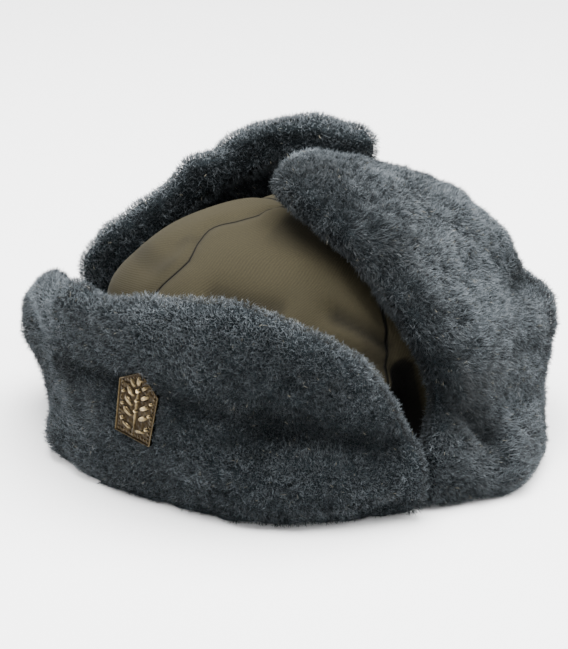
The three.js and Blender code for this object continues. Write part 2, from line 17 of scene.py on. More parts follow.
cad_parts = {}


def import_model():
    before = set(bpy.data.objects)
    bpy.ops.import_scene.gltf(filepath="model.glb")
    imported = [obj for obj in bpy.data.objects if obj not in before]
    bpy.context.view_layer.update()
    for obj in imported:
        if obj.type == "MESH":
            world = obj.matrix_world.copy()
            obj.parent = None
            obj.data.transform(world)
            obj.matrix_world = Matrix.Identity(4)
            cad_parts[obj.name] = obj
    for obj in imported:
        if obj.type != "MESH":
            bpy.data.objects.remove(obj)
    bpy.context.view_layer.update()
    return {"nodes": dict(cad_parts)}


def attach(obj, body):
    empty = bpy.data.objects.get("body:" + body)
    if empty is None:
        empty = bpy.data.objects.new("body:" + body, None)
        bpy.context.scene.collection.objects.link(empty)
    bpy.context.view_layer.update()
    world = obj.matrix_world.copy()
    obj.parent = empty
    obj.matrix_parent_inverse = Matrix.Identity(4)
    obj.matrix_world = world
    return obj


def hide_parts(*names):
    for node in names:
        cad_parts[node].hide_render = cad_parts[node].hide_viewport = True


LOG = logging.getLogger("winter_cap")

# One millimetre in metres.
MM = 0.001

# From the crown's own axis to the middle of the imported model, in millimetres.
AXIS_SHIFT = np.array([-0.535, 1.514, 0.0])

# Radians that a band texture of scale 1 turns through in one unit of length.
BAND_RATE = 20.0

Colour = tuple[float, float, float]
Stops = tuple[tuple[float, Colour], ...]
WHITE: Colour = (1.0, 1.0, 1.0)
BLACK: Colour = (0.0, 0.0, 0.0)


class Slot(Enum):
    """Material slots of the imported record."""

    TWILL = "twill"
    BACKING = "backing"
    PILE = "pile"
    BADGE = "badge"


def unit(vectors: np.ndarray) -> np.ndarray:
    """Scale each row to length one.

    Args:
        vectors: Rows of three numbers.

    Returns:
        The rows, each of length one.
    """
    return vectors / np.maximum(np.linalg.norm(vectors, axis=-1, keepdims=True), 1e-9)


def smoothstep(values: np.ndarray, low: float, high: float) -> np.ndarray:
    """Ease from 0 at low to 1 at high.

    Args:
        values: Numbers to ease.
        low: Where the rise starts.
        high: Where the rise ends.

    Returns:
        The eased numbers.
    """
    t = np.clip((values - low) / (high - low), 0.0, 1.0)
    return t * t * (3.0 - 2.0 * t)


def look_up(table: tuple[tuple[float, float], ...], at: np.ndarray) -> np.ndarray:
    """Read a two-column table smoothly between its rows.

    Args:
        table: Rows of place and value, in order of place.
        at: Places to read.

    Returns:
        The values there.
    """
    rows = np.array(table, float)
    place = np.clip(at, rows[0, 0], rows[-1, 0])
    i = np.clip(np.searchsorted(rows[:, 0], place, side="left") - 1, 0, len(rows) - 2)
    before = np.maximum(np.arange(len(rows)) - 1, 0)
    after = np.minimum(np.arange(len(rows)) + 1, len(rows) - 1)
    slopes = (rows[after, 1] - rows[before, 1]) / (rows[after, 0] - rows[before, 0])
    span = rows[i + 1, 0] - rows[i, 0]
    t = (place - rows[i, 0]) / span
    rise = t * t * (3.0 - 2.0 * t)
    bow = slopes[i] * t * (1.0 - t) ** 2 - slopes[i + 1] * t * t * (1.0 - t)
    return rows[i, 1] * (1.0 - rise) + rows[i + 1, 1] * rise + span * bow


def shaded(colour: Colour, share: float) -> Colour:
    """A colour made darker or lighter by a share."""
    return tuple(share * part for part in colour)


def outward(angle: np.ndarray) -> np.ndarray:
    """Directions in plan at angles in degrees from the front towards the wearer's left."""
    turn = np.radians(angle)
    return np.stack([np.sin(turn), -np.cos(turn), np.zeros_like(turn)], axis=-1)


@dataclass(frozen=True)
class Dome:
    """Rounded form that the crown is cut to."""

    half_width: float = 98.0
    half_length: float = 99.0
    height: float = 112.0
    roundness: float = 2.5

    def level(self, points: np.ndarray) -> np.ndarray:
        """One on the dome, less inside it and more outside.

        Args:
            points: Rows of x, y and z.

        Returns:
            A number for each row.
        """
        plan = np.hypot(points[..., 0] / self.half_width, points[..., 1] / self.half_length)
        rise = np.abs(points[..., 2]) / self.height
        return plan**self.roundness + rise**self.roundness

    def point(self, directions: np.ndarray) -> np.ndarray:
        """Where rays from the middle of the rim's plane leave the dome.

        Args:
            directions: Rows of unit vectors.

        Returns:
            The points, a row for each direction.
        """
        return directions * (self.level(directions) ** (-1.0 / self.roundness))[..., None]

    def normal(self, points: np.ndarray) -> np.ndarray:
        """Outward directions of the dome grown to go through each point.

        Args:
            points: Rows of x, y and z.

        Returns:
            Rows of unit vectors.
        """
        n = self.roundness
        plan = np.hypot(points[..., 0] / self.half_width, points[..., 1] / self.half_length)
        side = np.maximum(plan, 1e-6) ** (n - 2.0)
        up = np.sign(points[..., 2]) * (np.abs(points[..., 2]) / self.height) ** (n - 1.0) / self.height
        x = side * points[..., 0] / self.half_width**2
        y = side * points[..., 1] / self.half_length**2
        return unit(np.stack([x, y, up], axis=-1))

    def clearance(self, points: np.ndarray) -> np.ndarray:
        """Distance of points from the dome, negative inside it.

        Args:
            points: Rows of x, y and z.

        Returns:
            A distance for each row.
        """
        level = np.maximum(self.level(points), 1e-6)
        along = np.linalg.norm(points, axis=-1) * (1.0 - level ** (-1.0 / self.roundness))
        facing = np.abs(np.sum(unit(points) * self.normal(points), axis=-1))
        return along * facing


DOME = Dome()


@dataclass(frozen=True)
class LatticeNoise:
    """Smooth vector noise from a seeded lattice that repeats."""

    seed: int
    pitch: float
    cells: int = 32

    def at(self, points: np.ndarray) -> np.ndarray:
        """Read the noise.

        Args:
            points: Rows of x, y and z in millimetres.

        Returns:
            Rows of three numbers between -1 and 1.
        """
        table = np.random.default_rng(self.seed).uniform(-1.0, 1.0, (self.cells,) * 3 + (3,))
        place = points / self.pitch + 1000.0
        low = np.floor(place).astype(int)
        t = smoothstep(place - low, 0.0, 1.0)
        total = np.zeros(points.shape)
        for corner in range(8):
            step = np.array([corner & 1, corner >> 1 & 1, corner >> 2 & 1])
            share = np.prod(np.where(step == 1, t, 1.0 - t), axis=-1)
            cell = (low + step) % self.cells
            total += share[:, None] * table[cell[:, 0], cell[:, 1], cell[:, 2]]
        return total


@dataclass(frozen=True)
class Bump:
    """A soft bulge or dent: where it lies, how far out it goes and how large it is."""

    angle: float
    height: float
    out: float
    wide: float
    tall: float

    def at(self, points: np.ndarray) -> np.ndarray:
        """How far the bump moves a surface out.

        Args:
            points: Rows of x, y and z.

        Returns:
            A distance for each row.
        """
        angle = np.degrees(np.arctan2(points[:, 0], -points[:, 1]))
        turn = np.radians((angle - self.angle + 180.0) % 360.0 - 180.0)
        aside = turn * np.hypot(points[:, 0], points[:, 1]) / self.wide
        above = (points[:, 2] - self.height) / self.tall
        return self.out * np.exp(-(aside**2) - above**2)


@dataclass(frozen=True)
class Crease:
    """A long soft fold: where it starts and ends, how far out it goes and how wide it is."""

    angle: float
    height: float
    end_angle: float
    end_height: float
    out: float
    wide: float

    def at(self, points: np.ndarray) -> np.ndarray:
        """How far the fold moves a surface out.

        Args:
            points: Rows of x, y and z.

        Returns:
            A distance for each row.
        """
        angle = np.degrees(np.arctan2(points[:, 0], -points[:, 1]))
        degree = np.radians(1.0) * np.hypot(points[:, 0], points[:, 1])
        across = ((angle - self.angle + 180.0) % 360.0 - 180.0) * degree
        above = points[:, 2] - self.height
        run = (self.end_angle - self.angle) * degree
        rise = self.end_height - self.height
        share = np.clip((across * run + above * rise) / (run**2 + rise**2), 0.0, 1.0)
        aside = np.hypot(across - share * run, above - share * rise)
        return self.out * np.exp(-((aside / self.wide) ** 2))


class NodeBoard:
    """Small helper that lays out one material's nodes."""

    def __init__(self, name: str) -> None:
        """Start an empty material with a shader and its output.

        Args:
            name: Name of the material.
        """
        self.material = bpy.data.materials.new(name)
        self.material.use_nodes = True
        self.tree = self.material.node_tree
        self.tree.nodes.clear()
        self.shader = self.add("ShaderNodeBsdfPrincipled")
        output = self.add("ShaderNodeOutputMaterial")
        self.join(self.shader, "BSDF", output, "Surface")

    def add(self, kind: str, **settings: object) -> bpy.types.Node:
        """Add a node.

        Args:
            kind: Blender's name for the node's type.
            **settings: Properties to set on it.

        Returns:
            The node.
        """
        node = self.tree.nodes.new(kind)
        for key, value in settings.items():
            setattr(node, key, value)
        return node

    def put(self, node: bpy.types.Node, **values: object) -> bpy.types.Node:
        """Set unlinked sockets by name, with underscores for spaces.

        Args:
            node: The node.
            **values: Socket values.

        Returns:
            The same node.
        """
        for key, value in values.items():
            node.inputs[key.replace("_", " ")].default_value = value
        return node

    def join(self, a: bpy.types.Node, out: str, b: bpy.types.Node, into: str) -> None:
        """Link an output of one node to an input of another."""
        self.tree.links.new(a.outputs[out], b.inputs[into])

    def ramp(self, source: bpy.types.Node, out: str, stops: Stops) -> bpy.types.Node:
        """Add a colour ramp behind a node.

        Args:
            source: Node that drives it.
            out: Name of that node's output.
            stops: Place and colour of each stop.

        Returns:
            The ramp.
        """
        node = self.add("ShaderNodeValToRGB")
        elements = node.color_ramp.elements
        while len(elements) < len(stops):
            elements.new(0.5)
        for element, (place, colour) in zip(elements, stops):
            element.position = place
            element.color = (*colour, 1.0)
        self.join(source, out, node, "Fac")
        return node

    def noise(self, scale: float, detail: float, roughness: float = 0.5) -> bpy.types.Node:
        """Add fractal noise on Object coordinates.

        Args:
            scale: Cells for each metre.
            detail: Number of finer layers.
            roughness: Strength of the finer layers.

        Returns:
            The noise node.
        """
        where = self.add("ShaderNodeTexCoord")
        node = self.put(self.add("ShaderNodeTexNoise"), Scale=scale, Detail=detail, Roughness=roughness)
        self.join(where, "Object", node, "Vector")
        return node

    def mix(
        self, a: bpy.types.Node, out_a: str, b: bpy.types.Node, out_b: str, blend: str, share: float
    ) -> bpy.types.Node:
        """Blend two colours.

        Args:
            a: Node of the lower colour.
            out_a: Its output.
            b: Node of the upper colour.
            out_b: Its output.
            blend: Blender's name for the way to blend.
            share: How much of the upper colour shows.

        Returns:
            The mixing node, whose output is Color.
        """
        node = self.add("ShaderNodeMixRGB", blend_type=blend)
        node.inputs["Fac"].default_value = share
        self.join(a, out_a, node, "Color1")
        self.join(b, out_b, node, "Color2")
        return node

    def bump(self, source: bpy.types.Node, out: str, distance: float, strength: float) -> bpy.types.Node:
        """Drive the shader's normal from a height.

        Args:
            source: Node that gives the height.
            out: Its output.
            distance: Height of the relief in metres.
            strength: Share of it that shows.

        Returns:
            The bump node.
        """
        node = self.put(self.add("ShaderNodeBump"), Distance=distance, Strength=strength)
        self.join(source, out, node, "Height")
        self.join(node, "Normal", self.shader, "Normal")
        return node


@dataclass(frozen=True)
class TwillFinish:
    """Matt cotton twill with fine diagonal ribs, darker beside its seams, with painted shadow
    deep in its folds.

    Its weave map is the cloth's flat place in metres. Its seam map gives the distance from a seam across and
    the painted shadow of the folds and the tuck upwards, both from 0 to 1.
    """

    dark: Colour = (0.0150, 0.0128, 0.0066)
    light: Colour = (0.0305, 0.0262, 0.0141)
    fade: float = 0.14
    fade_scale: float = 16.0
    rib_pitch: float = 1.1
    rib_turn: float = 40.0
    rib_share: float = 0.25
    rib_shades: Stops = ((0.28, (0.50, 0.50, 0.54)), (0.66, (1.26, 1.24, 1.18)))
    slub_scale: float = 1500.0
    slub_share: float = 0.75
    slub_shades: Stops = ((0.32, (0.70, 0.70, 0.71)), (0.68, (1.30, 1.29, 1.26)))
    seam_shades: Stops = (
        (0.0, (0.12, 0.12, 0.13)),
        (0.012, (0.2, 0.2, 0.2)),
        (0.045, (0.9, 0.9, 0.9)),
        (0.2, WHITE),
    )
    # Painted shadow: darkens the cloth by how deep it lies in a fold or the tuck.
    painted_fold_shadow: Stops = ((0.1, WHITE), (0.5, (0.14, 0.14, 0.15)), (1.0, (0.04, 0.04, 0.045)))
    relief_height: float = 0.00022
    relief_share: float = 0.38
    seam_and_shadow_map: str = "Seam"
    weave_map: str = "Weave"

    def make(self) -> bpy.types.Material:
        """Build the material.

        Returns:
            The twill.
        """
        board = NodeBoard("olive_twill")
        weave = board.add("ShaderNodeUVMap", uv_map=self.weave_map)
        turned = board.add("ShaderNodeMapping")
        turned.inputs["Rotation"].default_value = (0.0, 0.0, math.radians(self.rib_turn))
        board.join(weave, "UV", turned, "Vector")
        ribs = board.put(
            board.add("ShaderNodeTexWave", wave_type="BANDS", bands_direction="X", wave_profile="SIN"),
            Scale=math.tau / (BAND_RATE * self.rib_pitch * MM),
            Distortion=0.4,
            Detail=2.0,
            Detail_Scale=1.6,
        )
        board.join(turned, "Vector", ribs, "Vector")
        slubs = board.put(board.add("ShaderNodeTexNoise"), Scale=self.slub_scale, Detail=3.0, Roughness=0.65)
        board.join(weave, "UV", slubs, "Vector")
        worn = board.noise(self.fade_scale, 3.0)
        middle = tuple((a + b) / 2.0 for a, b in zip(self.dark, self.light))
        faded = ((0.3, shaded(middle, 1.0 - self.fade)), (0.72, shaded(middle, 1.0 + self.fade)))
        base = board.ramp(worn, "Fac", faded)
        rib_shade = board.ramp(ribs, "Color", self.rib_shades)
        slub_shade = board.ramp(slubs, "Fac", self.slub_shades)
        ribbed = board.mix(base, "Color", rib_shade, "Color", "MULTIPLY", self.rib_share)
        woven = board.mix(ribbed, "Color", slub_shade, "Color", "MULTIPLY", self.slub_share)
        edge = board.add("ShaderNodeUVMap", uv_map=self.seam_and_shadow_map)
        parts = board.add("ShaderNodeSeparateXYZ")
        board.join(edge, "UV", parts, "Vector")
        seam_shade = board.ramp(parts, "X", self.seam_shades)
        # Painted shadow of the folds and the tuck, multiplied into the cloth's colour.
        painted_fold_shadow_ramp = board.ramp(parts, "Y", self.painted_fold_shadow)
        sewn = board.mix(woven, "Color", seam_shade, "Color", "MULTIPLY", 1.0)
        with_painted_shadow = board.mix(sewn, "Color", painted_fold_shadow_ramp, "Color", "MULTIPLY", 1.0)
        board.join(with_painted_shadow, "Color", board.shader, "Base Color")
        board.put(board.shader, Roughness=0.95, Specular_IOR_Level=0.14)
        relief = board.mix(ribs, "Color", slubs, "Fac", "ADD", 0.5)
        board.bump(relief, "Color", self.relief_height, self.relief_share)
        return board.material


@dataclass(frozen=True)
class BackingFinish:
    """Plain dark cloth behind the pile."""

    colour: Colour = (0.052, 0.047, 0.034)
    fade: float = 0.3
    weave_scale: float = 1400.0
    relief_height: float = 0.0002

    def make(self) -> bpy.types.Material:
        """Build the material.

        Returns:
            The cloth.
        """
        board = NodeBoard("backing_cloth")
        weave = board.noise(self.weave_scale, 2.0)
        stops = ((0.3, shaded(self.colour, 1.0 - self.fade)), (0.7, shaded(self.colour, 1.0 + self.fade)))
        shade = board.ramp(weave, "Fac", stops)
        board.join(shade, "Color", board.shader, "Base Color")
        board.put(board.shader, Roughness=0.95, Specular_IOR_Level=0.15)
        board.bump(weave, "Fac", self.relief_height, 0.5)
        return board.material


@dataclass(frozen=True)
class UnderpileFinish:
    """Dense foot of the pile, as it shows between the fibres, painted dark for the shade deep in it."""

    # Painted shade: these dark colours stand for the shade deep in the pile between the fibres.
    dark: Colour = (0.0045, 0.0062, 0.0072)
    light: Colour = (0.022, 0.029, 0.033)
    fibre_scale: float = 1100.0
    tuft_scale: float = 260.0
    tuft_dark: Colour = (0.6, 0.6, 0.6)
    relief_height: float = 0.0009

    def make(self) -> bpy.types.Material:
        """Build the material.

        Returns:
            The dense pile.
        """
        board = NodeBoard("underpile_painted_shade")
        fibres = board.noise(self.fibre_scale, 4.0, 0.7)
        tufts = board.noise(self.tuft_scale, 2.0)
        shade = board.ramp(fibres, "Fac", ((0.36, self.dark), (0.68, self.light)))
        dim = board.ramp(tufts, "Fac", ((0.35, self.tuft_dark), (0.65, WHITE)))
        mixed = board.mix(shade, "Color", dim, "Color", "MULTIPLY", 0.8)
        board.join(mixed, "Color", board.shader, "Base Color")
        board.put(board.shader, Roughness=0.95, Specular_IOR_Level=0.1)
        relief = board.mix(fibres, "Fac", tufts, "Fac", "ADD", 0.5)
        board.bump(relief, "Color", self.relief_height, 0.8)
        return board.material


@dataclass(frozen=True)
class FibreFinish:
    """Fibres of the pile. Their map gives a shade across, painted light and shade included, and root to tip
    upwards.
    """

    # Dark root: partly the fibres' own colour, partly painted shade deep in the pile.
    root: Colour = (0.0030, 0.0040, 0.0047)
    dark_tip: Colour = (0.0105, 0.0150, 0.0175)
    light_tip: Colour = (0.172, 0.198, 0.217)
    warm_tip: Colour = (0.260, 0.240, 0.180)
    middle_share: float = 0.32
    fibre_map: str = "OFBake"

    def make(self) -> bpy.types.Material:
        """Build the material.

        Returns:
            The fibre.
        """
        board = NodeBoard("pile_fibre")
        along = board.add("ShaderNodeUVMap", uv_map=self.fibre_map)
        parts = board.add("ShaderNodeSeparateXYZ")
        board.join(along, "UV", parts, "Vector")
        share = self.middle_share
        middle = tuple((1.0 - share) * a + share * b for a, b in zip(self.dark_tip, self.light_tip))
        stops = ((0.0, self.dark_tip), (0.55, middle), (0.96, self.light_tip), (0.985, self.warm_tip))
        tip = board.ramp(parts, "X", stops)
        # Darker from tip to root: partly the fibres' own colour, partly painted shade deep in the pile.
        rise = board.ramp(parts, "Y", ((0.3, BLACK), (0.9, WHITE)))
        foot = board.add("ShaderNodeRGB")
        foot.outputs[0].default_value = (*self.root, 1.0)
        colour = board.add("ShaderNodeMixRGB", blend_type="MIX")
        board.join(rise, "Color", colour, "Fac")
        board.join(foot, "Color", colour, "Color1")
        board.join(tip, "Color", colour, "Color2")
        board.join(colour, "Color", board.shader, "Base Color")
        board.put(board.shader, Roughness=0.62, Specular_IOR_Level=0.3)
        return board.material


@dataclass(frozen=True)
class BrassFinish:
    """Aged brass, brown in its hollows and bright on its high places."""

    hollow: Colour = (0.013, 0.0085, 0.0035)
    high: Colour = (0.660, 0.510, 0.275)
    field_share: float = 0.10
    side_share: float = 0.25
    stain: Colour = (0.40, 0.36, 0.32)
    stain_scale: float = 700.0
    stain_share: float = 0.7
    relief_height: float = 0.00008
    relief_map: str = "Relief"

    def make(self) -> bpy.types.Material:
        """Build the material.

        Returns:
            The brass.
        """
        board = NodeBoard("aged_brass")
        height = board.add("ShaderNodeUVMap", uv_map=self.relief_map)
        parts = board.add("ShaderNodeSeparateXYZ")
        board.join(height, "UV", parts, "Vector")
        field, side = shaded(self.high, self.field_share), shaded(self.high, self.side_share)
        worn = board.ramp(parts, "X", ((0.0, self.hollow), (0.35, field), (0.76, side), (0.98, self.high)))
        stain = board.noise(self.stain_scale, 5.0, 0.65)
        stain_shade = board.ramp(stain, "Fac", ((0.38, self.stain), (0.60, WHITE)))
        aged = board.mix(worn, "Color", stain_shade, "Color", "MULTIPLY", self.stain_share)
        board.join(aged, "Color", board.shader, "Base Color")
        rough = board.ramp(stain, "Fac", ((0.3, (0.30, 0.30, 0.30)), (0.7, (0.14, 0.14, 0.14))))
        board.join(rough, "Color", board.shader, "Roughness")
        board.put(board.shader, Metallic=1.0)
        board.bump(stain, "Fac", self.relief_height, 0.6)
        return board.material


@dataclass(frozen=True)
class FloorFinish:
    """Plain pale studio floor."""

    colour: Colour = (0.93, 0.93, 0.93)

    def make(self) -> bpy.types.Material:
        """Build the material.

        Returns:
            The floor's finish.
        """
        board = NodeBoard("pale_floor")
        board.put(board.shader, Base_Color=(*self.colour, 1.0), Roughness=0.9, Specular_IOR_Level=0.1)
        return board.material


def link(name: str, mesh: bpy.types.Mesh, material: bpy.types.Material) -> bpy.types.Object:
    """Make an object of a mesh, with one material.

    Args:
        name: Name of the piece.
        mesh: Its mesh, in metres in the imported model's frame.
        material: Its finish.

    Returns:
        The object, linked to the scene.
    """
    mesh.materials.clear()
    mesh.materials.append(material)
    piece = bpy.data.objects.new(name, mesh)
    bpy.context.scene.collection.objects.link(piece)
    return piece


def read_points(mesh: bpy.types.Mesh) -> np.ndarray:
    """Vertex positions of a mesh in millimetres round the crown's axis."""
    flat = np.empty(len(mesh.vertices) * 3)
    mesh.vertices.foreach_get("co", flat)
    return flat.reshape(-1, 3) / MM - AXIS_SHIFT


def write_points(mesh: bpy.types.Mesh, points: np.ndarray) -> None:
    """Place a mesh's vertices, given in millimetres round the crown's axis."""
    mesh.vertices.foreach_set("co", ((points + AXIS_SHIFT) * MM).ravel())
    mesh.update()


def read_normals(mesh: bpy.types.Mesh) -> np.ndarray:
    """Vertex normals of a mesh, a row each."""
    flat = np.empty(len(mesh.vertices) * 3)
    mesh.vertices.foreach_get("normal", flat)
    return flat.reshape(-1, 3)


def finished_mesh(piece: bpy.types.Object, name: str) -> bpy.types.Mesh:
    """Mesh of an object with its modifiers applied.

    Args:
        piece: Object whose modifiers are live.
        name: Name of the new mesh.

    Returns:
        The new mesh. The object is removed.
    """
    bpy.context.view_layer.update()
    graph = bpy.context.evaluated_depsgraph_get()
    mesh = bpy.data.meshes.new_from_object(piece.evaluated_get(graph))
    mesh.name = name
    bpy.data.objects.remove(piece)
    return mesh


def merged_copy(*solids: bpy.types.Object) -> bpy.types.Mesh:
    """Copy of the mesh of one or more solids with its loose triangles joined.

    Args:
        *solids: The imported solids.

    Returns:
        The copy.
    """
    shape = bmesh.new()
    for solid in solids:
        shape.from_mesh(solid.data)
    bmesh.ops.remove_doubles(shape, verts=shape.verts, dist=0.02 * MM)
    mesh = bpy.data.meshes.new(solids[0].name + "_copy")
    shape.to_mesh(mesh)
    shape.free()
    return mesh


@dataclass
class Crown:
    """Four cloth gores sewn along seams that meet at the top.

    Each seam is a path up the dome, in rows of how far up from the rim and angle from the front, in degrees.
    Folds, tucks and the hem move the cloth, the first two less beside the top and the rim. The creases in dim
    only paint shadow on it, by a share, and the tucks paint shadow on it too.
    """

    cloth: float = 2.6
    rim: float = 3.0
    tip: float = 0.7
    seam_gap: float = 0.4
    seam_dip: float = 1.6
    dip_width: float = 5.0
    seam_reach: float = 20.0
    pucker: float = 0.35
    pucker_pitch: float = 7.0
    pucker_width: float = 7.0
    slack: float = 0.55
    slack_pitch: float = 26.0
    free_radius: float = 20.0
    free_height: float = 40.0
    arc_radius: float = 100.0
    cut_height: float = 150.0
    columns: int = 38
    rows: int = 58
    column_crowding: float = 0.07
    row_crowding: float = 0.92
    seams: tuple[tuple[tuple[float, float], ...], ...] = (
        (
            (0, -22),
            (46, -20),
            (58, -17),
            (61, -22),
            (63.5, -29),
            (67, -38),
            (70, -41),
            (75, -39),
            (80, -49),
            (81, -58),
            (82, -92),
            (90, -98),
        ),
        ((0, 72), (35, 73.5), (49, 78), (90, 80)),
        ((0, 155), (50, 152), (90, 156)),
        ((0, 253), (50, 250), (90, 248)),
    )
    names: tuple[str, ...] = ("crown_gore_front", "crown_gore_left", "crown_gore_rear", "crown_gore_right")
    folds: tuple[Bump | Crease, ...] = (
        Crease(57, 89, 74, 75, -3.4, 4),
        Crease(60, 81, 73, 70, 2.2, 3.5),
        Crease(66, 71, 75, 64, -2.4, 4),
        Crease(8, 91, 36, 90, -2.4, 5),
        Crease(70, 96, 76, 84, -1.2, 4),
        Bump(80, 42, -8, 10, 20),
        Bump(-56, 67, 9, 30, 18),
        Bump(-70, 89, 3, 30, 12),
        Bump(-36, 94, -2, 10, 7),
        Bump(-6, 92, 1.4, 24, 14),
        Bump(22, 78, -1.8, 30, 6),
        Bump(52, 84, -2.2, 8, 16),
        Bump(66, 80, 1.2, 8, 14),
        Bump(120, 66, -2, 20, 12),
        Bump(205, 88, -2.2, 24, 10),
    )
    tucks: tuple[Crease, ...] = (Crease(80, 58, 82, 20, 1.0, 8), Crease(77, 48, 78, 20, 1.0, 7))
    tuck_depth: float = 5.0
    # Painted shadow in the cloth's folds: these creases only darken it, by a share.
    dim: tuple[Crease, ...] = (
        Crease(8, 91, 36, 90, 0.30, 5),
        Crease(59, 87, 75, 73, 0.40, 4.5),
        Crease(66, 69, 75, 62, 0.30, 4.5),
        Crease(20, 112, 66, 108, 0.24, 5),
        Crease(-56, 84, -26, 92, 0.24, 6),
        Crease(-40, 100, -31, 103, 0.18, 3.5),
    )
    hem: tuple[Bump, ...] = (Bump(-10, 3, 0.9, 400, 8), Bump(-98, 4, 2.2, 34, 10), Bump(74, 6, 2.4, 9, 12))

    def tucked(self, points: np.ndarray) -> np.ndarray:
        """How far the cloth is tucked in between the front flap and the left ear flap, from 0 to 1."""
        return smoothstep(np.maximum(*(fold.at(points) for fold in self.tucks)), 0.25, 0.75)

    def moved_out(
        self, points: np.ndarray, edge: np.ndarray, radius: np.ndarray, tuck: np.ndarray
    ) -> np.ndarray:
        """How far the cloth stands out from the dome.

        Args:
            points: Rows of x, y and z on the dome.
            edge: Distance of each from the nearer seam.
            radius: Distance of each from the axis.
            tuck: How far each is tucked in, from 0 to 1.

        Returns:
            A distance for each row.
        """
        free = np.minimum(1.0, radius / self.free_radius) * np.minimum(1.0, points[:, 2] / self.free_height)
        dip = self.seam_dip * np.exp(-((edge / self.dip_width) ** 2))
        out = sum(fold.at(points) for fold in self.folds) - self.tuck_depth * tuck - dip
        gathered = np.exp(-((edge / self.pucker_width) ** 2))
        pucker = LatticeNoise(31, self.pucker_pitch).at(points)[:, 0] * self.pucker * gathered
        slack = LatticeNoise(32, self.slack_pitch).at(points)[:, 1] * self.slack
        hem = sum(roll.at(points) for roll in self.hem)
        return (out + pucker + slack * smoothstep(edge, 2.0, 14.0)) * free + hem

    def place(self, seam: int, u: np.ndarray, v: np.ndarray) -> tuple[np.ndarray, ...]:
        """Points of one gore.

        Args:
            seam: Number of the seam that the gore starts at.
            u: Shares of the way from that seam to the next.
            v: Shares of the way from the rim to the top.

        Returns:
            The points, their distance from the nearer seam, their flat place on the cloth, and the painted
            shadow on each from its folds and its tuck, from 0 to 1.
        """
        lowest = math.degrees(math.asin(self.rim / DOME.half_width))
        highest = 90.0 - math.degrees(math.asin(self.tip / DOME.height))
        turn = lowest + (highest - lowest) * v
        radius = DOME.half_width * np.cos(np.radians(turn))
        gap = np.degrees(self.seam_gap / 2.0 / np.maximum(radius, 1.0))
        last = seam + 1 == len(self.seams)
        start = look_up(self.seams[seam], turn) + gap
        end = look_up(self.seams[0 if last else seam + 1], turn) + (360.0 if last else 0.0) - gap
        angle = start + (end - start) * (u - self.column_crowding * np.sin(2.0 * np.pi * u))
        direction = outward(angle) * np.cos(np.radians(turn))[:, None]
        direction[:, 2] = np.sin(np.radians(turn))
        points = DOME.point(direction)
        edge = np.radians(np.minimum(angle - start, end - angle)) * radius
        tuck = self.tucked(points)
        out = self.moved_out(points, edge, radius, tuck)
        across = np.radians(angle - (start + end) / 2.0) * radius
        flat = np.stack([across, np.radians(turn) * self.arc_radius], axis=-1)
        # Painted shadow: the tuck and the creases in dim darken the cloth where shade falls in its folds.
        shadow = np.clip(tuck + sum(fold.at(points) for fold in self.dim), 0.0, 1.0)
        return points + DOME.normal(points) * out[:, None], edge, flat, shadow

    def gore(self, seam: int, material: bpy.types.Material) -> bpy.types.Object:
        """Build one gore as a closed cloth wall.

        Args:
            seam: Number of the seam that the gore starts at.
            material: Its finish.

        Returns:
            The gore.
        """
        shape = bmesh.new()
        weave = shape.loops.layers.uv.new("Weave")
        seam_and_shadow_map = shape.loops.layers.uv.new("Seam")
        bmesh.ops.create_grid(shape, x_segments=self.columns, y_segments=self.rows, size=1.0)
        shape.verts.ensure_lookup_table()
        grid = np.array([vertex.co[:2] for vertex in shape.verts]) / 2.0 + 0.5
        points, edge, flat, shadow = self.place(seam, grid[:, 0], grid[:, 1] ** self.row_crowding)
        for vertex, co in zip(shape.verts, (points + AXIS_SHIFT) * MM):
            vertex.co = co
        for face in shape.faces:
            face.smooth = True
            for corner in face.loops:
                k = corner.vert.index
                corner[weave].uv = flat[k] * MM
                corner[seam_and_shadow_map].uv = (min(1.0, edge[k] / self.seam_reach), shadow[k])
        bmesh.ops.recalc_face_normals(shape, faces=shape.faces)
        middle = max(shape.faces, key=lambda face: face.calc_area())
        if middle.normal.dot(Vector(middle.calc_center_median())) < 0.0:
            bmesh.ops.reverse_faces(shape, faces=shape.faces)
        name = self.names[seam]
        mesh = bpy.data.meshes.new(name + "_sheet")
        shape.to_mesh(mesh)
        shape.free()
        sheet = link(name + "_cloth", mesh, material)
        wall = sheet.modifiers.new("wall", "SOLIDIFY")
        wall.thickness = self.cloth * MM
        wall.offset = -1.0
        wall.use_even_offset = False
        piece = link(name + "_cloth", finished_mesh(sheet, name + "_cloth"), material)
        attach(piece, "root")
        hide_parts(name)
        return piece

    def build(self) -> list[bpy.types.Object]:
        """Build all gores.

        Returns:
            The gores, from the front round by the wearer's left.
        """
        twill = TwillFinish().make()
        return [self.gore(seam, twill) for seam in range(len(self.seams))]


@dataclass
class FlapBackings:
    """Cloth behind each flap's pile, against the crown."""

    names: tuple[str, ...] = (
        "front_flap_backing",
        "ear_flap_left_backing",
        "ear_flap_right_backing",
        "neck_flap_backing",
    )
    cut_height: float = 70.0
    sharp_angle: float = 32.0

    def build(self, nodes: dict[str, bpy.types.Object]) -> list[bpy.types.Object]:
        """Round and dress each backing.

        Args:
            nodes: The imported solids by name.

        Returns:
            The backings.
        """
        material = BackingFinish().make()
        pieces = []
        for name in self.names:
            rough = link(name + "_rough", merged_copy(nodes[name]), material)
            finer = rough.modifiers.new("finer", "SUBSURF")
            finer.subdivision_type = "SIMPLE"
            finer.levels = finer.render_levels = 1
            piece = link(name + "_cloth", finished_mesh(rough, name + "_cloth"), material)
            for face in piece.data.polygons:
                face.use_smooth = True
            piece.data.set_sharp_from_angle(angle=math.radians(self.sharp_angle))
            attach(piece, "root")
            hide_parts(name)
            pieces.append(piece)
        return pieces


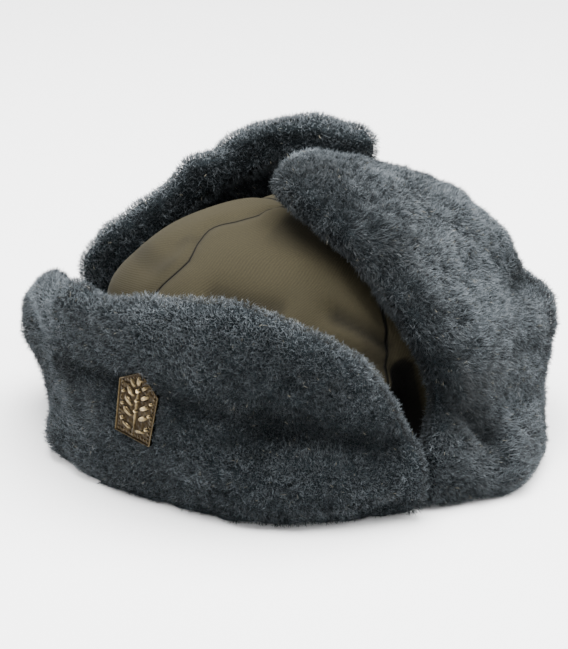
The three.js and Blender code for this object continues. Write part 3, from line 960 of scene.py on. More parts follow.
@dataclass(frozen=True)
class Fibres:
    """How a flap's fibres grow: how many, how long and wide, and how they lean, curl and stray.

    Comb is the way that they are brushed, and shade how light they are, from 0 to 1.
    """

    count: int
    length: float = 6.0
    width: float = 0.31
    curl: float = 0.36
    lean: float = 0.34
    stray: float = 0.26
    comb: tuple[float, float, float] = (0.0, 0.0, 1.0)
    shade: float = 0.5


@dataclass
class Badge:
    """Small five-sided brass plate with a raised rim and a struck sprig of leaves and berries.

    Each leaf or berry is a row of its place across and up the plate, half its length and width, its turn in
    degrees and how high it is raised.
    """

    width: float = 24.5
    height: float = 34.8
    shoulder: float = 26.7
    foot: float = 22.0
    plate: float = 1.4
    rim_width: float = 0.6
    rim_raise: float = 0.6
    edge_round: float = 0.3
    bead_inset: float = 2.1
    bead_pitch: float = 1.9
    bead_radius: float = 0.62
    bead_raise: float = 0.3
    vein_depth: float = 0.22
    vein_width: float = 0.16
    fine_grain: float = 0.05
    broad_grain: float = 0.16
    full_raise: float = 1.55
    centre_height: float = 50.8
    out: float = 117.91
    aim_out: float = 240.0
    aim_run: float = 120.0
    angle: float = 5.4
    lean_back: float = 3.0
    twist: float = -8.0
    post_radius: float = 1.6
    post_length: float = 10.0
    cover_depth: float = 0.6
    columns: int = 96
    rows: int = 132
    leaves: tuple[tuple[float, ...], ...] = (
        (0, 12.6, 2.8, 1.5, 90, 1.3),
        (-3.6, 10.2, 2.4, 1.2, 130, 1.1),
        (3.6, 10.2, 2.4, 1.2, 50, 1.1),
        (-4.4, 5.6, 3.0, 1.4, 142, 1.3),
        (4.4, 5.6, 3.0, 1.4, 38, 1.3),
        (-4.9, 0.4, 3.2, 1.5, 148, 1.3),
        (4.9, 0.4, 3.2, 1.5, 32, 1.3),
        (-4.9, -5, 3.2, 1.5, 152, 1.3),
        (4.9, -5, 3.2, 1.5, 28, 1.3),
        (0, -2, 10.6, 0.7, 90, 0.9),
        (0, 7.6, 1.5, 1.5, 0, 1.6),
        (0, 2.4, 1.2, 1.2, 0, 1.4),
        (0, -3, 1.2, 1.2, 0, 1.4),
        (-8.6, 4.2, 1.1, 1.1, 0, 1.3),
        (8.6, 4.2, 1.1, 1.1, 0, 1.3),
        (-8.4, -2.2, 1.1, 1.1, 0, 1.3),
        (8.4, -2.2, 1.1, 1.1, 0, 1.3),
        (-7.6, -9.6, 1.3, 1.3, 0, 1.3),
        (7.6, -9.6, 1.3, 1.3, 0, 1.3),
        (-4.2, -12.2, 3.2, 1.0, 165, 1.1),
        (4.2, -12.2, 3.2, 1.0, 15, 1.1),
    )

    def matrix(self) -> Matrix:
        """Where the plate lies, in millimetres round the crown's axis.

        Returns:
            The matrix that carries the flat badge there.
        """
        away = Vector(outward(np.array(self.angle)))
        place = away * self.out
        place.z = self.centre_height
        target = away * self.aim_out
        target.z = self.centre_height + math.tan(math.radians(self.lean_back)) * self.aim_run
        z = (target - place).normalized()
        x = Vector((0.0, 0.0, 1.0)).cross(z).normalized()
        y = z.cross(x)
        turned = Matrix((x, y, z)).transposed().to_4x4()
        return Matrix.Translation(place) @ turned @ Matrix.Rotation(math.radians(self.twist), 4, "Z")

    def half_width(self, y: np.ndarray) -> np.ndarray:
        """Half the plate's width at heights above its middle."""
        shoulder = self.shoulder - self.height / 2.0
        foot = -self.height / 2.0
        side = self.foot / 2.0 + (self.width - self.foot) / 2.0 * (y - foot) / (shoulder - foot)
        gable = self.width / 2.0 * (self.height / 2.0 - y) / (self.height / 2.0 - shoulder)
        return np.minimum(side, gable)

    def edge_distance(self, x: np.ndarray, y: np.ndarray) -> np.ndarray:
        """Distance inside the plate's outline, negative outside it.

        Args:
            x: Places across the plate.
            y: Places up the plate.

        Returns:
            The distances.
        """
        shoulder = self.shoulder - self.height / 2.0
        rise = self.height / 2.0 - shoulder
        slope = math.hypot(rise, self.width / 2.0)
        gable = (self.width / 2.0 * (self.height / 2.0 - y) - np.abs(x) * rise) / slope
        taper = (self.width - self.foot) / 2.0 / self.shoulder
        side = (self.foot / 2.0 + taper * (y + self.height / 2.0) - np.abs(x)) / math.hypot(1.0, taper)
        return np.minimum(np.minimum(gable, side), y + self.height / 2.0)

    def beads(self) -> list[tuple[float, float]]:
        """Places of a row of small beads inside the rim.

        Returns:
            Their places across and up the plate.
        """
        inner = 1.0 - 2.0 * self.bead_inset / self.width
        low, high = -self.height / 2.0 + self.bead_inset, self.height / 2.0 - 1.35 * self.bead_inset
        corners = [
            (self.foot / 2.0 * inner, low),
            (self.width / 2.0 * inner, self.shoulder - self.height / 2.0 - 0.3),
            (0.0, high),
        ]
        corners += [(-across, up) for across, up in corners[1::-1]]
        places = []
        for start, end in zip(corners, corners[1:] + corners[:1]):
            steps = max(1, round(math.dist(start, end) / self.bead_pitch))
            for k in range(steps):
                places.append(tuple(a + (b - a) * k / steps for a, b in zip(start, end)))
        return places

    def relief(self, x: np.ndarray, y: np.ndarray) -> np.ndarray:
        """Height of the struck face.

        Args:
            x: Places across the plate.
            y: Places up the plate.

        Returns:
            Heights above the plate's back.
        """
        inside = self.edge_distance(x, y)
        rim = self.rim_raise * (1.0 - smoothstep(inside, self.rim_width - 0.35, self.rim_width + 0.15))
        face = self.plate + rim - self.edge_round * (1.0 - smoothstep(inside, 0.0, 0.35))
        for across, up, long, wide, turn, raise_ in self.leaves:
            c, s = math.cos(math.radians(turn)), math.sin(math.radians(turn))
            u = ((x - across) * c + (y - up) * s) / long
            v = (-(x - across) * s + (y - up) * c) / wide
            dome = np.sqrt(np.maximum(0.0, 1.0 - u * u - v * v))
            veined = long > 1.6 and wide > 0.9
            vein = self.vein_depth * np.exp(-((v * wide / self.vein_width) ** 2)) * (dome > 0.15) * veined
            face = np.maximum(face, self.plate + raise_ * dome - vein)
        for across, up in self.beads():
            apart = np.hypot(x - across, y - up) / self.bead_radius
            face = np.maximum(face, self.plate + self.bead_raise * np.sqrt(np.maximum(0.0, 1.0 - apart**2)))
        place = np.stack([x, y, np.zeros_like(x)], axis=-1)
        grain = LatticeNoise(77, 0.55).at(place)[:, 0] * self.fine_grain
        grain += LatticeNoise(78, 1.6).at(place)[:, 1] * self.broad_grain
        return face + grain * smoothstep(inside, 0.6, 1.4)

    def covers(self, points: np.ndarray, grow: float) -> np.ndarray:
        """Whether points lie in or before the plate.

        Args:
            points: Rows of x, y and z round the crown's axis.
            grow: How far outside the outline still counts.

        Returns:
            True or false for each row.
        """
        inverse = np.array(self.matrix().inverted())
        local = points @ inverse[:3, :3].T + inverse[:3, 3]
        near = self.edge_distance(local[:, 0], local[:, 1]) > -grow
        return near & (local[:, 2] > -self.cover_depth)

    def build(self) -> bpy.types.Object:
        """Strike the plate and set it in the pile.

        Returns:
            The badge.
        """
        shape = bmesh.new()
        relief_map = shape.loops.layers.uv.new("Relief")
        bmesh.ops.create_grid(shape, x_segments=self.columns, y_segments=self.rows, size=1.0)
        shape.verts.ensure_lookup_table()
        grid = np.array([vertex.co[:2] for vertex in shape.verts])
        y = grid[:, 1] * self.height / 2.0
        x = grid[:, 0] * np.maximum(self.half_width(y), 0.02)
        z = self.relief(x, y)
        for vertex, co in zip(shape.verts, np.stack([x, y, z], axis=-1)):
            vertex.co = co
        back = bmesh.ops.extrude_face_region(shape, geom=shape.faces[:])["geom"]
        for vertex in (part for part in back if isinstance(part, bmesh.types.BMVert)):
            vertex.co.z = 0.0
        flat = [part for part in back if isinstance(part, bmesh.types.BMFace)]
        bmesh.ops.dissolve_faces(shape, faces=flat, use_verts=False)
        bmesh.ops.create_cone(
            shape,
            cap_ends=True,
            segments=24,
            radius1=self.post_radius,
            radius2=self.post_radius,
            depth=self.post_length - 0.4,
            matrix=Matrix.Translation((0.0, 0.0, -0.2 - self.post_length / 2.0)),
        )
        bmesh.ops.recalc_face_normals(shape, faces=shape.faces)
        for face in shape.faces:
            face.smooth = True
            for corner in face.loops:
                high = (corner.vert.co.z - self.plate) / self.full_raise
                corner[relief_map].uv = (min(1.0, max(0.0, high)), 0.0)
        shift = Matrix.Translation(Vector(AXIS_SHIFT))
        shape.transform(Matrix.Scale(MM, 4) @ shift @ self.matrix())
        mesh = bpy.data.meshes.new("badge_plate")
        shape.to_mesh(mesh)
        shape.free()
        piece = link("badge_plate", mesh, BrassFinish().make())
        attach(piece, "root")
        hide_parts("badge")
        return piece


@dataclass(frozen=True)
class PileHabit:
    """How strongly each cause turns, bends, shortens or lightens a fibre, as shares.

    The turns lean its lower part and the bends its tip. It is shortened near the floor and near the crown.
    The shades add to how light it is, and a few fibres are warm. The shares for folds, for faces turned
    up and for inner faces are painted light and shade: darker in folds and lighter on ridges, lighter on top,
    darker towards the crown. Side shade sets a leaf's two sides apart in its map, and way up is where its
    root, sides and tip lie there.
    """

    comb_turn: float = 0.7
    swirl_turn: float = 0.8
    tuft_turn: float = 0.6
    stem_bend: float = 0.55
    lean_bend: float = 0.7
    clump_bend: float = 0.45
    chance_bend: float = 0.62
    lengths: tuple[float, float] = (0.70, 1.10)
    curls: tuple[float, float] = (0.7, 1.3)
    widths: tuple[float, float] = (0.6, 1.25)
    floor_length: float = 0.45
    crown_length: float = 0.4
    tuft_length: float = 0.18
    facing_roll: float = 0.8
    tuft_shade: float = 0.11
    swirl_shade: float = 0.09
    cloud_shade: float = 0.10
    # Painted shade and light: fibres darker in the pad's folds and lighter on its ridges.
    painted_fold_shade: float = 0.04
    clump_shade: float = 0.15
    # Painted light on faces turned up, and painted shade on inner faces that look at the crown.
    painted_top_light: float = 0.26
    painted_inner_shade: float = 0.24
    chance_shade: float = 0.13
    shade_range: tuple[float, float] = (0.02, 0.95)
    warm_share: float = 0.006
    warm_shade: float = 0.985
    side_shade: float = 0.012
    way_up: tuple[float, float, float, float] = (0.02, 0.5, 0.5, 0.98)


@dataclass
class Ground:
    """Where a batch of fibres leaves its pad: the places, the way out and the noises there."""

    foot: np.ndarray
    normal: np.ndarray
    swirl: np.ndarray
    clump: np.ndarray
    tuft: np.ndarray
    cloud: np.ndarray


@dataclass(frozen=True)
class PileNoise:
    """Noises of a flap's pile.

    Swirls turn the way that fibres lie, clumps make them cling together, tufts and clouds are small and
    broad patches, and lumps shape the dense pad.
    """

    seed: int
    swirl_pitch: float = 19.0
    clump_pitch: float = 2.2
    tuft_pitch: float = 5.0
    cloud_pitch: float = 24.0
    lump_pitch: float = 8.0

    def ground(self, foot: np.ndarray, normal: np.ndarray) -> Ground:
        """Read the fibres' noises.

        Args:
            foot: Where the fibres leave the pad.
            normal: The pad's outward direction at each.

        Returns:
            The places with their noises.
        """
        return Ground(
            foot=foot,
            normal=normal,
            swirl=LatticeNoise(self.seed + 1, self.swirl_pitch).at(foot),
            clump=LatticeNoise(self.seed + 2, self.clump_pitch).at(foot),
            tuft=LatticeNoise(self.seed + 3, self.tuft_pitch).at(foot),
            cloud=LatticeNoise(self.seed + 4, self.cloud_pitch).at(foot),
        )

    def lumps(self, points: np.ndarray) -> np.ndarray:
        """Lumps of the dense pad, from -1 to 1."""
        return LatticeNoise(self.seed + 5, self.lump_pitch).at(points)[:, 0]


@dataclass
class PileFlap:
    """Flaps of deep pile: a dense pad for each, with the fibres that stand on it.

    Flaps that are sewn into one apron share one even surface, which is then parted at their seams. The neck
    flap lies between two angles, below a height. The joint is the line in plan where the front flap meets
    the left ear flap. Folds move the surface out, and patches of painted light and shade make the fibres
    lighter or darker, by a share, where light and shade fall.
    """

    nodes: tuple[str, ...]
    fibres: tuple[tuple[Fibres, ...], ...]
    seed: int
    voxel: float = 2.6
    inset: float = 3.6
    foot_inset: float = 0.6
    lump: float = 1.1
    floor: float = 0.25
    fibre_floor: float = 0.3
    root_depth: float = 0.6
    clearance: float = 1.6
    neck_from: float = 128.0
    neck_to: float = 232.0
    neck_top: float = 92.0
    joint: tuple[float, float] = (95.0, -30.8)
    joint_turn: float = -13.0
    joint_reach: float = 11.0
    joint_top: float = 34.0
    joint_fade: float = 20.0
    joint_share: float = 0.9
    smooth_rounds: int = 8
    folds: tuple[Bump | Crease, ...] = ()
    # Painted light and shade: patches that make the fibres lighter or darker, by a share.
    painted_light_and_shade: tuple[Bump | Crease, ...] = ()
    badge: Badge | None = None
    habit: PileHabit = PileHabit()
    kept: float = 1.0

    def owner(self, points: np.ndarray) -> np.ndarray:
        """Which of the flaps each place belongs to.

        Args:
            points: Rows of x, y and z.

        Returns:
            The number of the flap for each row.
        """
        if len(self.nodes) == 1:
            return np.zeros(len(points), int)
        angle = np.degrees(np.arctan2(points[:, 0], -points[:, 1])) % 360.0
        neck = (angle > self.neck_from) & (angle < self.neck_to) & (points[:, 2] < self.neck_top)
        return np.where(neck, 2, np.where(points[:, 0] > 0.0, 0, 1))

    def relief(self, points: np.ndarray, normals: np.ndarray) -> np.ndarray:
        """How far the flap's soft folds move its outer side out.

        Args:
            points: Rows of x, y and z.
            normals: The surface's outward direction at each.

        Returns:
            A distance for each row.
        """
        outer = smoothstep(np.sum(unit(points) * normals, axis=1), -0.1, 0.4)
        return outer * sum((fold.at(points) for fold in self.folds), np.zeros(len(points)))

    def joined(self, points: np.ndarray) -> np.ndarray:
        """How near places are to the joint of the front and left ear flaps, one there and none far off."""
        slope = math.tan(math.radians(self.joint_turn))
        aside = points[:, 1] - self.joint[1] - slope * (points[:, 0] - self.joint[0])
        near = np.exp(-((aside / self.joint_reach) ** 2)) * (points[:, 0] > 0.0)
        return near * (1.0 - smoothstep(points[:, 2], self.joint_top, self.joint_top + self.joint_fade))

    def surface(self, solids: list[bpy.types.Object], material: bpy.types.Material) -> bpy.types.Mesh:
        """Make one even, dense surface a little inside the outer form of the solids.

        Args:
            solids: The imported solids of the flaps.
            material: Finish of the dense pile.

        Returns:
            The surface's mesh.
        """
        rough = link(self.nodes[0] + "_rough", merged_copy(*solids), material)
        even = rough.modifiers.new("even", "REMESH")
        even.mode = "VOXEL"
        even.voxel_size = self.voxel * MM
        soft = rough.modifiers.new("soft", "SMOOTH")
        soft.factor = 0.5
        soft.iterations = self.smooth_rounds
        mesh = finished_mesh(rough, self.nodes[0] + "_surface")
        points, normals = read_points(mesh), read_normals(mesh)
        room = DOME.clearance(points)
        lumps = PileNoise(self.seed).lumps(points)
        depth = self.inset * smoothstep(room, 3.5, 10.0) * (1.0 - self.joint_share * self.joined(points))
        depth = np.where((normals[:, 2] < -0.7) & (points[:, 2] < 4.0), self.foot_inset, depth)
        out = self.lump * lumps * smoothstep(room, 6.0, 14.0) - depth + self.relief(points, normals)
        moved = points + normals * out[:, None]
        moved[:, 2] = np.maximum(moved[:, 2], self.floor)
        write_points(mesh, moved)
        return mesh

    def pad(self, surface: bpy.types.Mesh, number: int, material: bpy.types.Material) -> bpy.types.Object:
        """Part one flap's pad from the surface and close it at its seams.

        Args:
            surface: The whole surface.
            number: Which flap.
            material: Finish of the dense pile.

        Returns:
            The pad.
        """
        shape = bmesh.new()
        shape.from_mesh(surface)
        shape.faces.ensure_lookup_table()
        middles = np.array([face.calc_center_median() for face in shape.faces]) / MM - AXIS_SHIFT
        other = self.owner(middles) != number
        bmesh.ops.delete(shape, geom=[shape.faces[k] for k in np.flatnonzero(other)], context="FACES")
        rims = [edge for edge in shape.edges if edge.is_boundary]
        if rims:
            bmesh.ops.triangle_fill(shape, edges=rims, use_beauty=True)
        bmesh.ops.recalc_face_normals(shape, faces=shape.faces)
        for face in shape.faces:
            face.smooth = True
        mesh = bpy.data.meshes.new(self.nodes[number] + "_pad")
        shape.to_mesh(mesh)
        shape.free()
        piece = link(self.nodes[number] + "_pad", mesh, material)
        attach(piece, "root")
        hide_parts(self.nodes[number])
        return piece

    def roots(
        self, mesh: bpy.types.Mesh, number: int, count: int, rng: np.random.Generator
    ) -> tuple[np.ndarray, np.ndarray]:
        """Scatter fibre roots over the open sides of one flap.

        Args:
            mesh: The whole surface.
            number: Which flap.
            count: Number of roots.
            rng: Source of chance, seeded.

        Returns:
            The roots and the surface's outward direction at each.
        """
        points, normals = read_points(mesh), read_normals(mesh)
        mesh.calc_loop_triangles()
        corners = np.empty(len(mesh.loop_triangles) * 3, int)
        mesh.loop_triangles.foreach_get("vertices", corners)
        corners = corners.reshape(-1, 3)
        a, b, c = (points[corners[:, k]] for k in range(3))
        area = np.linalg.norm(np.cross(b - a, c - a), axis=1) / 2.0
        middle = (a + b + c) / 3.0
        facing = unit(normals[corners].sum(axis=1))
        open_side = smoothstep(DOME.clearance(middle), 4.0, 7.0)
        # The foot's underside and the two faces of the joint stay bare.
        hidden = (facing[:, 2] < -0.6) & (middle[:, 2] < 3.0)
        hidden |= (np.abs(facing[:, 1]) > 0.8) & (self.joined(middle) > 0.9) & (middle[:, 2] < 25.0)
        weight = area * open_side * np.where(hidden | (self.owner(middle) != number), 0.0, 1.0)
        pick = rng.choice(len(corners), size=count, p=weight / weight.sum())
        r, s = np.sqrt(rng.random(count)), rng.random(count)
        shares = np.stack([1.0 - r, r * (1.0 - s), r * s], axis=1)[..., None]
        where = (points[corners[pick]] * shares).sum(axis=1)
        way = unit((normals[corners[pick]] * shares).sum(axis=1))
        return where, way

    def stems(
        self, style: Fibres, ground: Ground, rng: np.random.Generator
    ) -> tuple[np.ndarray, np.ndarray, np.ndarray]:
        """Where each fibre starts, bends and ends.

        Args:
            style: How the fibres grow.
            ground: Where they leave the pad.
            rng: Source of chance, seeded.

        Returns:
            Their roots, a little inside the pad, their middles and their tips.
        """
        habit, foot, normal = self.habit, ground.foot, ground.normal
        count = len(foot)
        comb = np.array(style.comb)
        comb = comb - normal * (normal @ comb)[:, None]
        lean = habit.comb_turn * comb + habit.swirl_turn * ground.swirl + habit.tuft_turn * ground.tuft
        lean = style.lean * lean
        first = unit(normal + lean + style.stray * rng.normal(size=(count, 3)))
        aside = unit(rng.normal(size=(count, 3)))
        bend = habit.stem_bend * first + habit.lean_bend * lean + habit.clump_bend * ground.clump
        second = unit(bend + habit.chance_bend * aside)
        low = smoothstep(foot[:, 2], 0.0, 8.0)
        close = smoothstep(DOME.clearance(foot), 3.5, 9.0)
        length = style.length * rng.uniform(*habit.lengths, count)
        length *= habit.floor_length + (1.0 - habit.floor_length) * low
        length *= habit.crown_length + (1.0 - habit.crown_length) * close
        length *= 1.0 + habit.tuft_length * ground.tuft[:, 0]
        root = foot - normal * self.root_depth
        middle = foot + first * (length * (1.0 - style.curl))[:, None] - normal * self.root_depth
        tip = middle + second * (length * style.curl * rng.uniform(*habit.curls, count))[:, None]
        middle[:, 2] = np.maximum(middle[:, 2], self.fibre_floor)
        tip[:, 2] = np.maximum(tip[:, 2], self.fibre_floor)
        return root, middle, tip

    def clear(self, root: np.ndarray, middle: np.ndarray, tip: np.ndarray) -> np.ndarray:
        """Which fibres stay off the floor, the crown and the badge.

        Args:
            root: Where the fibres start.
            middle: Where they bend.
            tip: Where they end.

        Returns:
            True or false for each.
        """
        clear = (DOME.clearance(tip) > self.clearance) & (DOME.clearance(middle) > self.clearance)
        clear &= root[:, 2] > 0.1
        if self.badge:
            for part, grow in ((tip, -0.5), (middle, 0.1), (root, 0.2)):
                clear &= ~self.badge.covers(part, grow)
        return clear

    def shades(self, style: Fibres, ground: Ground, root: np.ndarray, rng: np.random.Generator) -> np.ndarray:
        """How light each fibre is, from random tone and painted light and shade.

        Args:
            style: How the fibres grow.
            ground: Where they leave the pad.
            root: Where they start, a little inside it.
            rng: Source of chance, seeded.

        Returns:
            A shade from 0 to 1 for each.
        """
        habit = self.habit
        even = habit.tuft_shade * ground.tuft[:, 1] + habit.swirl_shade * ground.swirl[:, 2]
        even += habit.cloud_shade * ground.cloud[:, 0]
        # Painted shade and light: darker in the pad's folds, lighter on its ridges.
        even += habit.painted_fold_shade * self.relief(root, ground.normal)
        even += habit.clump_shade * ground.clump[:, 1]
        # Painted light on faces turned up, painted shade on inner faces that look at the crown.
        outer = smoothstep(np.sum(unit(root) * ground.normal, axis=1), -0.3, 0.3)
        top_lit_share = smoothstep(ground.normal[:, 2], 0.1, 0.8)
        even += habit.painted_top_light * top_lit_share - habit.painted_inner_shade * (1.0 - outer)
        # Painted light and shade from the flap's patches, the painted light only on outer faces.
        painted_patches = sum((patch.at(root) for patch in self.painted_light_and_shade), np.zeros(len(root)))
        even += np.where(painted_patches > 0.0, painted_patches * outer, painted_patches)
        even += style.shade + habit.chance_shade * rng.normal(size=len(root))
        shade = np.clip(even, *habit.shade_range)
        shade[rng.random(len(root)) < habit.warm_share] = habit.warm_shade
        return shade

    def grow(
        self, surface: bpy.types.Mesh, number: int, batch: int, material: bpy.types.Material
    ) -> bpy.types.Object:
        """Grow one batch of fibres, as a single mesh of slim leaves.

        The draws of chance come in a fixed order: the roots, the stems, the shades and last the leaves.

        Args:
            surface: The whole surface.
            number: Which flap.
            batch: Which batch of that flap.
            material: Finish of the fibres.

        Returns:
            The batch.
        """
        style, habit = self.fibres[number][batch], self.habit
        rng = np.random.default_rng(self.seed * 100 + number * 10 + batch)
        count = int(style.count * self.kept)
        ground = PileNoise(self.seed).ground(*self.roots(surface, number, count, rng))
        root, middle, tip = self.stems(style, ground, rng)
        keep = self.clear(root, middle, tip)
        shade = self.shades(style, ground, root, rng)
        root, normal, middle, tip, shade = (part[keep] for part in (root, ground.normal, middle, tip, shade))
        count = len(root)
        roll = unit(np.cross(unit(tip - middle), rng.normal(size=(count, 3)) + habit.facing_roll * normal))
        half = roll * (style.width / 2.0 * rng.uniform(*habit.widths, count))[:, None]
        points = np.stack([root, middle - half, middle + half, tip], axis=1)
        name = f"{self.nodes[number].replace('_pile', '')}_fibres_{batch + 1}"
        piece = link(name, self.leaves(name, points, shade), material)
        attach(piece, "root")
        return piece

    def leaves(self, name: str, points: np.ndarray, shade: np.ndarray) -> bpy.types.Mesh:
        """Join slim four-point leaves into one mesh, two triangles for each.

        Args:
            name: Name of the mesh.
            points: For each fibre its root, two side points and tip.
            shade: How light each fibre is, from 0 to 1.

        Returns:
            The mesh, with each fibre's shade and the way up it in its map.
        """
        count = len(points)
        mesh = bpy.data.meshes.new(name)
        mesh.vertices.add(count * 4)
        mesh.loops.add(count * 6)
        mesh.polygons.add(count * 2)
        first = np.arange(count)[:, None] * 4
        corners = (first + np.array([[0, 2, 1, 1, 2, 3]])).ravel()
        mesh.loops.foreach_set("vertex_index", corners)
        mesh.polygons.foreach_set("loop_start", np.arange(count * 2) * 3)
        write_points(mesh, points.reshape(-1, 3))
        fibre_map = mesh.uv_layers.new(name="OFBake")
        aside = self.habit.side_shade
        across = shade[:, None] + np.array([[0.0, -aside, aside, 0.0]])
        up = np.broadcast_to(np.array([self.habit.way_up]), across.shape)
        spots = np.stack([across, up], axis=-1).reshape(-1, 2)
        fibre_map.data.foreach_set("uv", spots[corners].ravel())
        mesh.validate()
        mesh.update()
        return mesh

    def build(
        self, nodes: dict[str, bpy.types.Object], under: bpy.types.Material, fibre: bpy.types.Material
    ) -> list[bpy.types.Object]:
        """Build the pads and all their fibres.

        Args:
            nodes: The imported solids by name.
            under: Finish of the dense pile.
            fibre: Finish of the fibres.

        Returns:
            The pieces.
        """
        surface = self.surface([nodes[name] for name in self.nodes], under)
        pieces = []
        for number, batches in enumerate(self.fibres):
            pieces.append(self.pad(surface, number, under))
            pieces += [self.grow(surface, number, batch, fibre) for batch in range(len(batches))]
        bpy.data.meshes.remove(surface)
        return pieces


@dataclass
class FrontFlap(PileFlap):
    """Pile turned up in front, with the badge pressed into it."""

    nodes: tuple[str, ...] = ("front_flap_pile",)
    fibres: tuple[tuple[Fibres, ...], ...] = ((Fibres(68000, length=5.6, width=0.26),) * 2,)
    seed: int = 11
    folds: tuple[Bump | Crease, ...] = (
        Crease(14, 59, 38, 50, -2.6, 5),
        Crease(38, 50, 67, 40, -4.2, 7),
        Crease(-28, 55, -2, 59, -3.0, 4),
        Crease(-30, 66, -6, 68, 1.6, 6),
        Crease(20, 24, 66, 22, 1.4, 9),
        Bump(-27, 11, 5.2, 13, 13),
        Bump(-12, 5, 4.0, 14, 9),
        Bump(-38, 83, 4.5, 22, 10),
        Bump(-20, 95, 4.0, 12, 8),
        Bump(64, 4, -5.0, 15, 9),
    )
    # Painted light and shade: darker along the folds, lighter on the lit rim and the left corner.
    painted_light_and_shade: tuple[Bump | Crease, ...] = (
        Crease(14, 60, 38, 50, -0.36, 9),
        Crease(38, 50, 62, 38, -0.58, 12),
        Bump(70, 22, 0.14, 8, 16),
        Crease(20, 22, 64, 22, 0.05, 10),
        Crease(-24, 54, -2, 57, -0.42, 7),
        Bump(44, 74, -0.15, 34, 20),
        Bump(-32, 76, 0.56, 30, 16),
        Bump(-20, 30, 0.14, 20, 18),
        Bump(16, 96, 0.26, 36, 12),
    )


@dataclass
class SideAndNeckFlaps(PileFlap):
    """Pile of the two ear flaps and the neck flap, which are sewn into one apron."""

    nodes: tuple[str, ...] = ("ear_flap_left_pile", "ear_flap_right_pile", "neck_flap_pile")
    fibres: tuple[tuple[Fibres, ...], ...] = (
        (Fibres(68000, shade=0.54, length=5.6, width=0.25, lean=0.5, comb=(0.65, 0.65, -0.4)),) * 2,
        (Fibres(39000, length=5.4, width=0.28, curl=0.42, stray=0.20),) * 2,
        (Fibres(74500, shade=0.56, width=0.28),),
    )
    seed: int = 12
    folds: tuple[Bump | Crease, ...] = (
        Crease(84, 50, 93, 30, -5.0, 5),
        Crease(76, 112, 83, 84, -2.0, 6),
        Crease(80, 62, 83, 46, -2.0, 6),
        Crease(-90, 92, -100, 108, 2.2, 9),
        Crease(-122, 128, -140, 132, 3.4, 9),
        Bump(-160, 124, 3.5, 14, 9),
        Bump(-73, 62, 3.5, 10, 12),
        Bump(137, 98, 4.5, 13, 8),
        Bump(130, 112, 4.0, 24, 13),
        Bump(133, 80, -6.5, 22, 8),
        Bump(98, 4, 4.0, 14, 8),
        Bump(124, 8, -2.0, 14, 10),
        Bump(-78, 70, 1.8, 12, 14),
        Bump(-97, 111, 2.6, 8, 7),
        Bump(-113, 123, 2.6, 8, 7),
        Bump(-90, 98, -1.8, 7, 7),
        Bump(-105, 118, -1.8, 6, 6),
    )
    # Painted light and shade: darker on the ear's inner strip and in its hollow, lighter along the far ear's
    # rim.
    painted_light_and_shade: tuple[Bump | Crease, ...] = (
        Crease(70, 112, 82, 62, -0.42, 18),
        Bump(86, 10, -0.10, 30, 10),
        Crease(82, 62, 86, 48, -0.40, 12),
        Crease(84, 48, 93, 28, -0.60, 8),
        Crease(112, 90, 112, 30, 0.08, 24),
        Crease(-76, 72, -84, 88, 0.34, 10),
        Crease(-84, 90, -127, 131, 0.38, 9),
        Crease(-127, 131, -160, 126, 0.38, 10),
        Bump(115, 122, -0.20, 50, 20),
        Bump(134, 82, -0.14, 22, 20),
        Bump(50, 138, -0.34, 20, 14),
        Bump(92, 14, -0.08, 34, 14),
    )


@dataclass(frozen=True)
class Softbox:
    """A soft square light: where it hangs and how wide it is, in metres, and its power in watts."""

    name: str
    place: tuple[float, float, float]
    size: float
    power: float


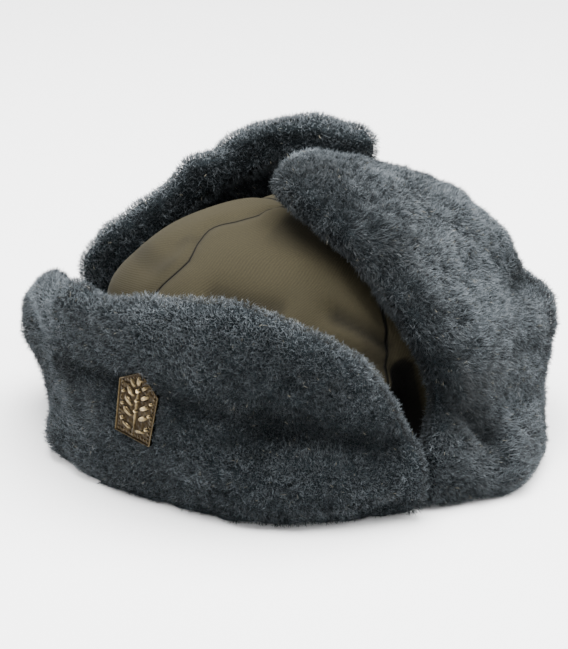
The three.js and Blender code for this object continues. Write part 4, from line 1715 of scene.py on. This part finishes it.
@dataclass
class Studio:
    """Pale floor, soft lights and the camera at the photograph's place."""

    distance: float = 1500.0
    lens: float = 166.4
    sensor: float = 36.0
    aim_right: float = -7.5
    aim_up: float = 48.5
    right: tuple[float, float, float] = (0.7071, 0.7071, 0.0)
    back: tuple[float, float, float] = (0.6509, -0.6509, 0.3907)
    up: tuple[float, float, float] = (-0.2763, 0.2763, 0.9205)
    floor_reach: float = 8.0
    room_colour: Colour = (0.96, 0.98, 1.0)
    room_strength: float = 0.42
    lit_height: float = 0.06
    softboxes: tuple[Softbox, ...] = (
        Softbox("top_softbox", (0.05, 0.05, 1.30), 1.3, 105.0),
        Softbox("left_softbox", (-1.10, -0.75, 0.50), 0.8, 22.0),
        Softbox("right_softbox", (1.05, 0.95, 0.75), 0.8, 37.0),
        Softbox("front_softbox", (0.75, -1.15, 0.85), 0.7, 9.0),
    )

    def floor(self) -> bpy.types.Object:
        """Lay the floor.

        Returns:
            The floor.
        """
        shape = bmesh.new()
        bmesh.ops.create_grid(shape, x_segments=1, y_segments=1, size=self.floor_reach)
        mesh = bpy.data.meshes.new("studio_floor")
        shape.to_mesh(mesh)
        shape.free()
        piece = link("studio_floor", mesh, FloorFinish().make())
        return piece

    def hang(self, softbox: Softbox) -> None:
        """Hang a light that faces the cap.

        Args:
            softbox: The light.
        """
        data = bpy.data.lights.new(softbox.name, "AREA")
        data.shape = "SQUARE"
        data.size = softbox.size
        data.energy = softbox.power
        lamp = bpy.data.objects.new(softbox.name, data)
        lamp.location = softbox.place
        away = Vector(softbox.place) - Vector((0.0, 0.0, self.lit_height))
        lamp.rotation_euler = away.to_track_quat("Z", "Y").to_euler()
        bpy.context.scene.collection.objects.link(lamp)

    def surroundings(self) -> None:
        """Light the room evenly."""
        world = bpy.data.worlds.new("soft_room")
        world.use_nodes = True
        back = world.node_tree.nodes["Background"]
        back.inputs["Color"].default_value = (*self.room_colour, 1.0)
        back.inputs["Strength"].default_value = self.room_strength
        bpy.context.scene.world = world

    def camera(self) -> bpy.types.Object:
        """Set the camera at the photograph's place.

        Returns:
            The camera.
        """
        right, back, up = Vector(self.right), Vector(self.back), Vector(self.up)
        aim = right * self.aim_right + up * self.aim_up + Vector(AXIS_SHIFT)
        data = bpy.data.cameras.new("photo_camera")
        data.lens = self.lens
        data.sensor_width = self.sensor
        data.sensor_fit = "AUTO"
        data.clip_end = 50.0
        eye = bpy.data.objects.new("photo_camera", data)
        turned = Matrix((right, up, back)).transposed().to_4x4()
        eye.matrix_world = Matrix.Translation((aim + back * self.distance) * MM) @ turned
        bpy.context.scene.collection.objects.link(eye)
        bpy.context.scene.camera = eye
        return eye

    def build(self) -> None:
        """Set up the whole studio."""
        self.camera()
        self.floor()
        self.surroundings()
        for softbox in self.softboxes:
            self.hang(softbox)


def report(pieces: list[bpy.types.Object]) -> None:
    """Log each piece with its number of faces."""
    for piece in pieces:
        LOG.info("%s: %d faces", piece.name, len(piece.data.polygons))


def main() -> None:
    """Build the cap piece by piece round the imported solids."""
    logging.basicConfig(level=logging.INFO, format="%(message)s")
    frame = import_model()
    nodes = frame["nodes"]
    kept = 1.0

    Studio().build()
    LOG.info("studio set up")
    report(Crown().build())
    report(FlapBackings().build(nodes))
    badge = Badge()
    report([badge.build()])
    under, fibre = UnderpileFinish().make(), FibreFinish().make()
    report(FrontFlap(badge=badge, kept=kept).build(nodes, under, fibre))
    report(SideAndNeckFlaps(kept=kept).build(nodes, under, fibre))

    made = [piece for piece in bpy.data.objects if piece.type == "MESH" and piece.name not in nodes]
    total = sum(len(face.vertices) - 2 for piece in made for face in piece.data.polygons)
    LOG.info("%d triangles in all", total)


if __name__ == "__main__":
    main()
